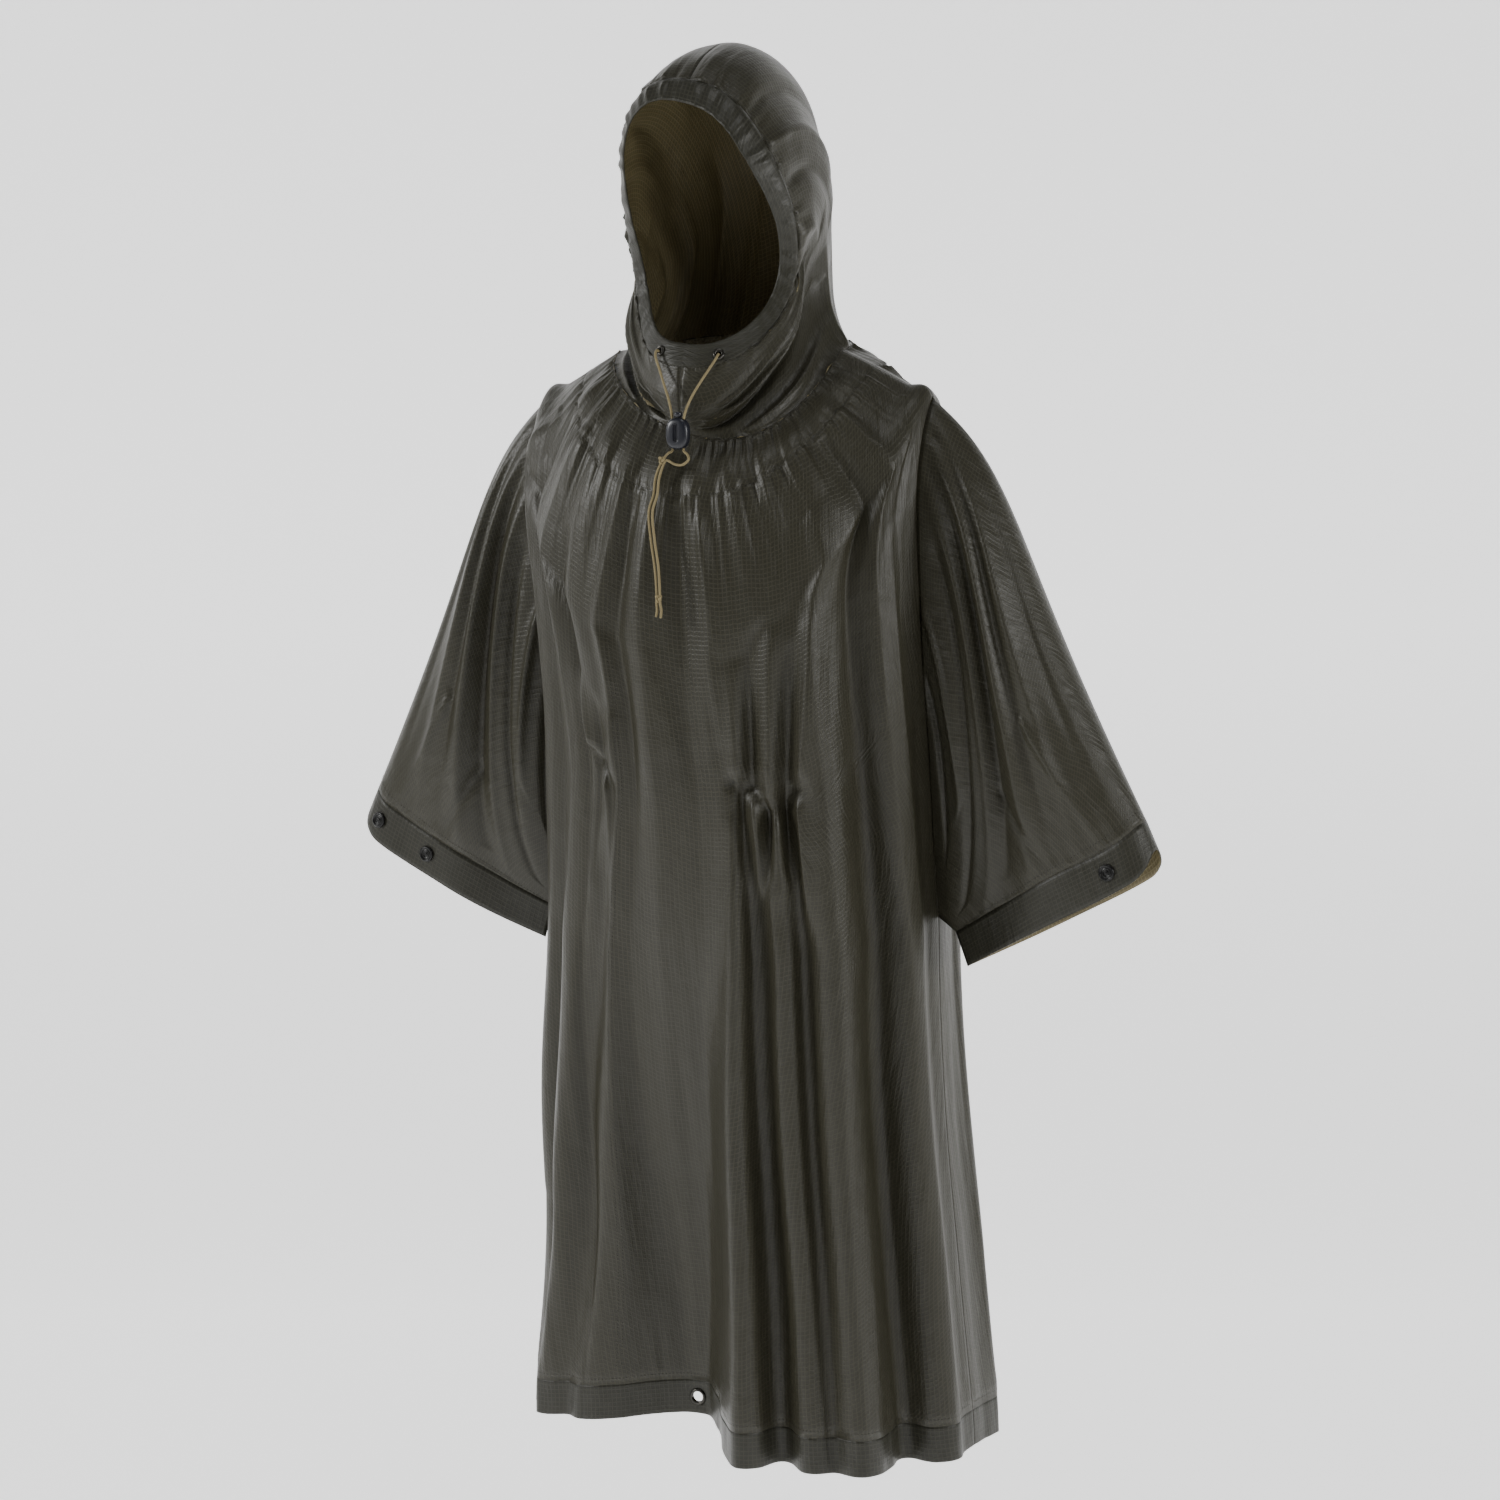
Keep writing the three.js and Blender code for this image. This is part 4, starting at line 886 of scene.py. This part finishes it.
def tube_mesh(name, path, sides, radius, closed=False):
    """A tube along a path, with round ends, or run into itself where it is a closed loop."""
    path = np.array(path)
    radii = np.full(len(path), float(radius))
    if not closed:
        first = path[0] - unit(path[1] - path[0]) * radius * 0.5
        last = path[-1] + unit(path[-1] - path[-2]) * radius * 0.5
        path = np.vstack([first, first, path, last, last])
        radii = np.concatenate([[0, radius * 0.7], radii, [radius * 0.7, 0]])
    shifts = path - np.roll(path, 1, axis=0)
    ahead = np.roll(path, -1, axis=0) - path
    tangents = shifts + ahead
    if not closed:
        tangents[:2] = path[2] - path[1]
        tangents[-2:] = path[-2] - path[-3]
    tangents = unit(tangents)
    side = unit(np.cross(tangents[0], (0.3, 0.2, 1.0)))
    angle = np.arange(sides) * 2 * math.pi / sides
    rings = []
    for index, tangent in enumerate(tangents):
        side = unit(side - tangent * np.dot(side, tangent))
        other = np.cross(tangent, side)
        round_it = np.cos(angle)[:, None] * side + np.sin(angle)[:, None] * other
        rings.append(path[index] + radii[index] * round_it)
    if closed:
        rings.append(rings[0])
        path = np.vstack([path, path[:1]])
    lengths = np.concatenate([[0], np.cumsum(np.linalg.norm(np.diff(path, axis=0), axis=1))]) * MM
    u, v = np.meshgrid(np.linspace(0, 1, sides + 1), lengths)
    return closed_mesh(grid_mesh(name, np.array(rings), np.stack([u, v], -1), wrap=True, flip=True))


def knot_path(centre):
    """A trefoil pulled tight, standing along the cord."""
    t = np.linspace(0, 2 * math.pi, 73)[:-1]
    size = (KNOT_HALF - CORD_RADIUS) / 3
    x = (np.sin(t) + 2 * np.sin(2 * t)) * size
    z = (np.cos(t) - 2 * np.cos(2 * t)) * size * 1.1
    y = -np.sin(3 * t) * size * 1.4
    return stack(x, y, z) + np.array(centre, float)


def add_drawcord():
    """Both strands, drawn through the lock and tied at two knots, with their free ends."""
    fittings = [add_lock(), add_lock_button()]
    for name, centre in KNOTS.items():
        knot = new_object(f"drawcord_knot_{name}", tube_mesh(name, knot_path(centre), CORD_SIDES, CORD_RADIUS,
                                                             closed=True), [CORD])
        fittings.append(add_piece(knot, "cord", f"cord_knot_{name}"))
    for name, route in CORD_ROUTES.items():
        path = smooth_path(route, 8)
        strand = new_object(f"drawcord_{name}", tube_mesh(name, path, CORD_SIDES, CORD_RADIUS), [CORD])
        add_piece(strand, "cord", *CORD_NODES[name])


def add_lock():
    """An oval barrel with rounded edges and a slot sunk in its front face."""
    across, depth, tall = LOCK_HALF
    reach, angle = np.meshgrid(np.linspace(0, 1, 40) ** 0.7, np.arange(72) * 2 * math.pi / 72, indexing="ij")
    outline = (np.abs(np.cos(angle)) ** 2.6 + np.abs(np.sin(angle)) ** 2.6) ** (-1 / 2.6)
    x = across * reach * outline * np.cos(angle)
    z = tall * reach * outline * np.sin(angle)
    face = depth * (1 - reach ** 5) ** (1 / 3)
    slot_z = np.clip(z, LOCK_SLOT["bottom"], LOCK_SLOT["top"])
    inside = 1 - smooth((np.hypot(x, z - slot_z) - LOCK_SLOT["radius"] + 0.8) / 1.2)
    front = stack(x, -face + inside * LOCK_SLOT["depth"], z)
    back = stack(x, face, z)[::-1]
    points = np.concatenate([front, back[1:]]) + np.array(LOCK_CENTRE, float)
    uv = np.zeros((len(points), points.shape[1] + 1, 2))
    mesh = closed_mesh(grid_mesh("lock", points, uv, wrap=True, flip=False))
    lock = new_object("cord_lock_shell", mesh, [LOCK_PLASTIC])
    return add_piece(lock, "lock_plastic", "cord_lock_body")


def placed(mesh, point, normal):
    """Puts a fitting on its place, its own +Z along the surface's outward normal."""
    turn = Vector((0, 0, 1)).rotation_difference(Vector(normal))
    mesh.transform(Matrix.Translation(Vector(point) * MM) @ turn.to_matrix().to_4x4())
    return mesh


def lathe_mesh(name, profile, segments):
    """A profile of radius and height in millimetres, turned about its own Z axis."""
    radius, height = np.array(profile, float).T
    angle = np.arange(segments) * 2 * math.pi / segments
    points = stack(radius[:, None] * np.cos(angle), radius[:, None] * np.sin(angle), height[:, None])
    uv = np.zeros((len(points), segments + 1, 2))
    return closed_mesh(grid_mesh(name, points, uv, wrap=True, flip=True))


def add_lock_button():
    radius = LOCK_BUTTON_RADIUS
    tall = LOCK_BUTTON_HEIGHT
    profile = [(0, 0), (radius, 0), (radius, tall * 0.75), (radius * 0.93, tall * 0.92), (radius * 0.8, tall),
               (radius * 0.3, tall * 0.97), (0, tall * 0.95)]
    mesh = placed(lathe_mesh("button", profile, 32), (LOCK_CENTRE[0], LOCK_CENTRE[1], LOCK_BUTTON_LEVEL), (0, 0, 1))
    return add_piece(new_object("cord_lock_push", mesh, [LOCK_PLASTIC]), "lock_plastic", "cord_lock_button")


def surface_place(surface, u, v, step, outward):
    """A point of a surface and its normal on the side that is asked for."""
    def at(a, b):
        return surface(np.array([[a]]), np.array([[b]]))[0, 0]
    normal = unit(np.cross(at(u + step, v) - at(u - step, v), at(u, v + step) - at(u, v - step)))
    if np.dot(normal, outward) < 0:
        normal = -normal
    return at(u, v), normal


def rolled_ring(outer, hole, front, back):
    """An eyelet: a barrel through the cloth, rolled over a flange in front and a washer behind."""
    middle = (outer + hole) / 2
    return [(hole, -back), (middle, -back - 0.5), (outer, -back), (outer, -back + 0.4), (hole + 0.7, -back + 0.4),
            (hole + 0.7, front - 0.5), (outer, front - 0.5), (outer, front), (middle, front + 0.9),
            (hole + 0.6, front + 0.7), (hole, front + 0.1), (hole, -back)]


def hem_eyelet_place():
    return surface_place(lambda a, b: body_point(True, a, b), *HEM_EYELET_AT, 0.01, (0, -1, 0))


def chin_eyelet_place(name):
    side, turn = CHIN_EYELETS[name]

    def surface(a, b):
        return face_hem_points(np.where(side > 0, a, 2 - a), b)

    return surface_place(surface, turn, 0.5, 0.02, (0, -1, 0))


def add_eyelets():
    point, normal = hem_eyelet_place()
    mesh = placed(lathe_mesh("hem_eyelet", rolled_ring(HEM_EYELET_OUTER, HEM_EYELET_HOLE, 1.6, 2.0), 56), point, normal)
    add_piece(new_object("hem_eyelet_ring", mesh, [EYELET_METAL]), "eyelet_metal", "hem_eyelet")
    for name in CHIN_EYELETS:
        point, normal = chin_eyelet_place(name)
        mesh = placed(lathe_mesh(name, rolled_ring(EYELET_OUTER, EYELET_HOLE, 1.2, 2.2), 40), point, normal)
        add_piece(new_object(f"chin_eyelet_{name}_ring", mesh, [EYELET_METAL]), "eyelet_metal",
                  f"chin_eyelet_{name}")


def add_studs():
    """Press studs: a rolled rim, a sunken ring and a post in the middle."""
    r = STUD_RADIUS
    profile = [(0, 0), (r, 0), (r, 1.2), (r - 0.3, 1.9), (r - 1.1, 2.4), (r - 2.0, 2.2), (r - 2.5, 1.3), (r - 3.3, 1.1),
               (r - 3.8, 1.6), (r - 4.5, 1.7), (r - 5.0, 1.1), (2.3, 1.0), (2.0, 2.0), (1.4, 2.4), (0, 2.5)]
    for name, (side, is_front, around) in STUDS.items():
        point, normal = surface_place(lambda a, b: cuff_point(side, is_front, a, b), around, 0.5, 0.02,
                                      (0, -1 if is_front else 1, 0))
        mesh = placed(lathe_mesh(name, profile, 48), point + normal * 0.5, normal)
        add_piece(new_object(f"stud_{name}", mesh, [STUD_METAL]), "stud", f"cuff_snap_{name}")


def pierce(obj, point, radius):
    """Takes a panel's faces away under an eyelet, so that its hole is open."""
    work = bmesh.new()
    work.from_mesh(obj.data)
    centre = Vector(point) * MM
    gone = [face for face in work.faces if (face.calc_center_median() - centre).length < radius * MM]
    bmesh.ops.delete(work, geom=gone, context="FACES")
    work.to_mesh(obj.data)
    work.free()


# Stitches, in millimetres: how long, how far from one to the next, and how thick the thread is
STITCH_LENGTH = 2.5
STITCH_STEP = 3.7
STITCH_HALF = 0.32
FRONT_NEEDLE_LINES = ((-0.15, -0.332), (-0.138, -0.32))
STITCH_SECTION = np.array([(0, 0, 0), (0.5, 1, 0.9), (0.5, -1, 0.9), (1, 0, 0)], float)


def line_on(points, rows, columns, run, flip):
    """Places and normals, evenly spaced along a run of coordinates on a grid of points."""
    normal = grid_normals(points) * (-1 if flip else 1)
    u, v = np.array(run, float).T
    steps = np.linspace(0, len(u) - 1, 1500)
    u = np.interp(steps, np.arange(len(u)), u)
    v = np.interp(steps, np.arange(len(v)), v)
    column = np.interp(u, columns, np.arange(len(columns)))
    row = np.interp(v, rows, np.arange(len(rows)))
    c = np.minimum(column.astype(int), len(columns) - 2)
    r = np.minimum(row.astype(int), len(rows) - 2)
    fc = (column - c)[:, None]
    fr = (row - r)[:, None]

    def at(grid):
        upper = grid[r, c] * (1 - fc) + grid[r, c + 1] * fc
        lower = grid[r + 1, c] * (1 - fc) + grid[r + 1, c + 1] * fc
        return upper * (1 - fr) + lower * fr

    return at(points), unit(at(normal))


def stitch_row(places, normals):
    """Corners and faces of a row of stitches, each a slim lens lying on the cloth."""
    lengths = np.concatenate([[0], np.cumsum(np.linalg.norm(np.diff(places, axis=0), axis=1))])
    starts = np.arange(0, lengths[-1] - STITCH_LENGTH, STITCH_STEP)
    corners = []
    for along, over, up in STITCH_SECTION:
        at = starts + along * STITCH_LENGTH
        place = np.stack([np.interp(at, lengths, places[:, k]) for k in range(3)], -1)
        normal = np.stack([np.interp(at, lengths, normals[:, k]) for k in range(3)], -1)
        ahead = np.stack([np.interp(at + 0.5, lengths, places[:, k]) for k in range(3)], -1) - place
        sideways = unit(np.cross(normal, ahead))
        corners.append(place + sideways * over * STITCH_HALF + normal * (0.15 + up * STITCH_HALF))
    corners = np.stack(corners, 1)
    ridge = (corners[:, 1] + corners[:, 2]) / 2 + (corners[:, 1] - corners[:, 2]) * 0
    top = ridge + (ridge - (corners[:, 0] + corners[:, 3]) / 2) * 0.6
    corners = np.concatenate([corners, top[:, None]], 1)
    pattern = np.array([(0, 2, 4), (2, 3, 4), (3, 1, 4), (1, 0, 4), (0, 1, 3), (0, 3, 2)])
    faces = (np.arange(len(corners))[:, None, None] * 5 + pattern).reshape(-1, 3)
    return corners.reshape(-1, 3), faces


def add_stitches(name, rows_of_stitches):
    corners = []
    faces = []
    count = 0
    for places, normals in rows_of_stitches:
        more_corners, more_faces = stitch_row(places, normals)
        corners.append(more_corners)
        faces.append(more_faces + count)
        count += len(more_corners)
    mesh = bpy.data.meshes.new(name)
    mesh.from_pydata((np.concatenate(corners) * MM).tolist(), [], np.concatenate(faces).tolist())
    mesh.shade_smooth()
    return add_piece(new_object(name, mesh, [THREAD]), "cloth")


CLOTH = cloth_material(
    "olive_ripstop", (0.0190, 0.0176, 0.0110), (0.0285, 0.0265, 0.0165), (0.046, 0.043, 0.027), 0.40, 0.35)
# Inside faces: the coated side is browner than the outer face, and its colour is also painted brighter, standing in for
# the light that falls inside the hood.
INSIDE_COLOUR_WITH_PAINTED_LIGHT = cloth_material(
    "olive_ripstop_inside_painted_light", (0.10, 0.083, 0.040), (0.15, 0.125, 0.062), (0.26, 0.22, 0.12), 0.5, 0.6)
HEM_CLOTH = cloth_material(
    "olive_ripstop_hem", (0.016, 0.0155, 0.0105), (0.024, 0.0232, 0.0155), (0.040, 0.038, 0.026), 0.42, 0.35)
THREAD = speckled_material("olive_thread", (0.02, 0.019, 0.013), (0.05, 0.046, 0.032), 0.7, 0.0, 900.0, 0.0002)
STUD_METAL = speckled_material("black_stud", (0.01, 0.01, 0.01), (0.022, 0.022, 0.021), 0.32, 0.6, 400.0, 0.00008)
EYELET_METAL = speckled_material("dark_eyelet", (0.03, 0.029, 0.026), (0.09, 0.085, 0.075), 0.3, 0.9, 400.0, 0.00008)
LOCK_PLASTIC = speckled_material("navy_plastic", (0.006, 0.007, 0.011), (0.013, 0.014, 0.02), 0.33, 0.0, 700.0, 0.0001)
CORD = cord_material()

CLOTH_WALL = 0.0006
HEM_WALL = 0.0012


def add_panels():
    for is_front, name in ((True, "front"), (False, "back")):
        columns = 300 if is_front else 240
        rows = 140 if is_front else 120
        across = np.linspace(-1, 1, columns)
        # Closer rows where the neck's gathers are fine
        level = HEM_STITCH_LEVEL * np.linspace(0, 1, rows) ** 1.25
        hem_level = np.linspace(HEM_STITCH_LEVEL, HEM_EDGE_LEVEL, 18)
        whole = panel_points(is_front, *np.meshgrid(across, np.concatenate([level, hem_level[1:]])))
        points = whole[:rows]
        add_cloth(f"{name}_panel_cloth", f"{name}_panel", points, CLOTH_WALL,
                  flip=not is_front, materials=(CLOTH, INSIDE_COLOUR_WITH_PAINTED_LIGHT))
        runs = [[(a, row) for a in np.linspace(-0.99, 0.99, 60)] for row in (0.012, YOKE_STITCH_LEVEL, 2.985)]
        if is_front:
            runs += [[(a, row) for a, row in zip(np.linspace(top, bottom, 40), np.linspace(0.4, 2.96, 40))]
                     for top, bottom in FRONT_NEEDLE_LINES]
        add_stitches(f"{name}_stitches", [line_on(points, level, across, run, not is_front) for run in runs])
        hem = add_cloth(f"{name}_hem_cloth", f"{name}_hem", whole[rows - 1:], HEM_WALL,
                        flip=not is_front, slot="hem_cloth", materials=(HEM_CLOTH, INSIDE_COLOUR_WITH_PAINTED_LIGHT))
        if is_front:
            pierce(hem, hem_eyelet_place()[0], (HEM_EYELET_HOLE + HEM_EYELET_OUTER) / 2)


def add_sleeves():
    for name, side, seed in (("left", 1, 71), ("right", -1, 83)):
        rows = np.linspace(0, 1, 90)

        def surface(is_front, around, along):
            return sleeve_surface(side, is_front, around, along, seed)

        points = around_ring(surface, 80, rows)
        ring = np.linspace(0, 1, 160)
        stitches = line_on(points, rows, ring, [(a, 0.975) for a in np.linspace(0, 1, 80)], side > 0)
        add_stitches(f"cuff_{name}_stitches", [stitches])
        add_cloth(f"sleeve_{name}_cloth", f"sleeve_{name}", points, CLOTH_WALL, wrap=True,
                  flip=side > 0, materials=(CLOTH, INSIDE_COLOUR_WITH_PAINTED_LIGHT))

        def cuff(is_front, around, along):
            return cuff_point(side, is_front, around, along)

        points = around_ring(cuff, 80, np.linspace(0, 1, 10))
        add_cloth(f"cuff_hem_{name}_cloth", f"cuff_hem_{name}", points, HEM_WALL, wrap=True,
                  flip=side > 0, slot="hem_cloth", materials=(HEM_CLOTH, INSIDE_COLOUR_WITH_PAINTED_LIGHT))


def add_hood():
    for name, side, seed in (("left", 1, 101), ("right", -1, 113)):
        turn, level = np.meshgrid(np.linspace(0, 1, 120), np.linspace(FACE_HEM_LEVEL, 1, 100))
        points = hood_surface(side, turn, level)
        normal = grid_normals(points) * side
        points = points + normal * hood_detail(turn, level, seed)[..., None]
        add_cloth(f"hood_{name}_cloth", f"hood_{name}", points, CLOTH_WALL,
                  flip=side < 0, materials=(CLOTH, INSIDE_COLOUR_WITH_PAINTED_LIGHT))
        stitches = [line_on(points, level[:, 0], turn[0], [(a, row) for a in np.linspace(0, 1, 60)], side < 0)
                    for row in (FACE_HEM_LEVEL + 0.008, 0.985)]
        add_stitches(f"hood_{name}_stitches", stitches)
    whole, t = np.meshgrid(np.arange(360) * 2 / 360, np.linspace(0, 1, 14))
    hem = add_cloth("hood_face_hem_cloth", "hood_face_hem", face_hem_points(whole, t), 0.0016,
                    wrap=True, slot="hem_cloth", materials=(HEM_CLOTH, INSIDE_COLOUR_WITH_PAINTED_LIGHT))
    for name in CHIN_EYELETS:
        pierce(hem, chin_eyelet_place(name)[0], (EYELET_HOLE + EYELET_OUTER) / 2)


# Studio: each light's name, azimuth from the front towards the wearer's left, elevation, distance,
# size, watts and the height that it is aimed at
LIGHTS = (
    ("key", -50, 22, 3.4, 0.8, 72, -0.45),
    ("side", 92, 14, 3.2, 0.7, 44, -0.5),
    ("top", 30, 70, 2.6, 0.8, 12, -0.3),
    ("hood_fill", 58, 8, 2.4, 0.25, 9, 0.13),
)
WORLD_STRENGTH = 0.1
BACKDROP_LIGHT = 0.95


def turned(azimuth, elevation):
    a = math.radians(azimuth)
    e = math.radians(elevation)
    return Vector((math.sin(a) * math.cos(e), -math.cos(a) * math.cos(e), math.sin(e)))


def stage_mesh():
    """A floor that turns up behind the garment into a plain backdrop, square to the camera."""
    back = 3.2
    front = 6.0
    bend = 1.0
    half = 7.0
    profile = [(-front, 0.0), (back - bend, 0.0)]
    for step in range(1, 13):
        angle = math.pi / 2 * step / 12
        profile.append((back - bend + bend * math.sin(angle), bend * (1 - math.cos(angle))))
    profile.append((back, 6.0))
    away = turned(180 + math.degrees(CAMERA_TURN), 0)
    sideways = Vector((away.y, -away.x, 0))
    vertices = []
    for depth, height in profile:
        for edge in (-half, half):
            vertices.append(away * depth + sideways * edge + Vector((0, 0, FLOOR_HEIGHT + height)))
    faces = [(2 * i, 2 * i + 1, 2 * i + 3, 2 * i + 2) for i in range(len(profile) - 1)]
    mesh = bpy.data.meshes.new("floor")
    mesh.from_pydata(vertices, [], faces)
    mesh.shade_smooth()
    return mesh


def add_stage_and_lights():
    material, nodes, links, shader = node_material("pale_floor")
    shader.inputs["Base Color"].default_value = (0.9, 0.9, 0.9, 1)
    shader.inputs["Roughness"].default_value = 0.9
    shader.inputs["Emission Color"].default_value = (1, 1, 1, 1)
    shader.inputs["Emission Strength"].default_value = BACKDROP_LIGHT
    new_object("floor", stage_mesh(), [material])
    world = bpy.context.scene.world or bpy.data.worlds.new("studio")
    bpy.context.scene.world = world
    world.use_nodes = True
    background = world.node_tree.nodes["Background"]
    background.inputs["Color"].default_value = (1.0, 1.0, 1.0, 1)
    background.inputs["Strength"].default_value = WORLD_STRENGTH
    for name, azimuth, elevation, distance, width, power, aim in LIGHTS:
        target = Vector((0, 0, aim))
        light = bpy.data.lights.new(name, "AREA")
        light.shape = "SQUARE"
        light.size = width
        light.energy = power
        obj = bpy.data.objects.new(name, light)
        bpy.context.scene.collection.objects.link(obj)
        obj.location = turned(azimuth, elevation) * distance + target
        obj.rotation_euler = (target - obj.location).to_track_quat("-Z", "Y").to_euler()


def add_camera():
    camera = bpy.data.cameras.new("camera")
    camera.lens = CAMERA_LENS
    camera.sensor_width = 36
    camera.clip_end = 50
    obj = bpy.data.objects.new("camera", camera)
    bpy.context.scene.collection.objects.link(obj)
    obj.location = (
        CAMERA_DISTANCE * math.sin(CAMERA_TURN),
        -CAMERA_DISTANCE * math.cos(CAMERA_TURN),
        CAMERA_HEIGHT,
    )
    obj.rotation_euler = (math.pi / 2 - CAMERA_PITCH, 0, CAMERA_YAW)
    bpy.context.scene.camera = obj


add_camera()
add_drawcord()
add_stage_and_lights()
add_panels()
add_sleeves()
add_hood()
add_eyelets()
add_studs()
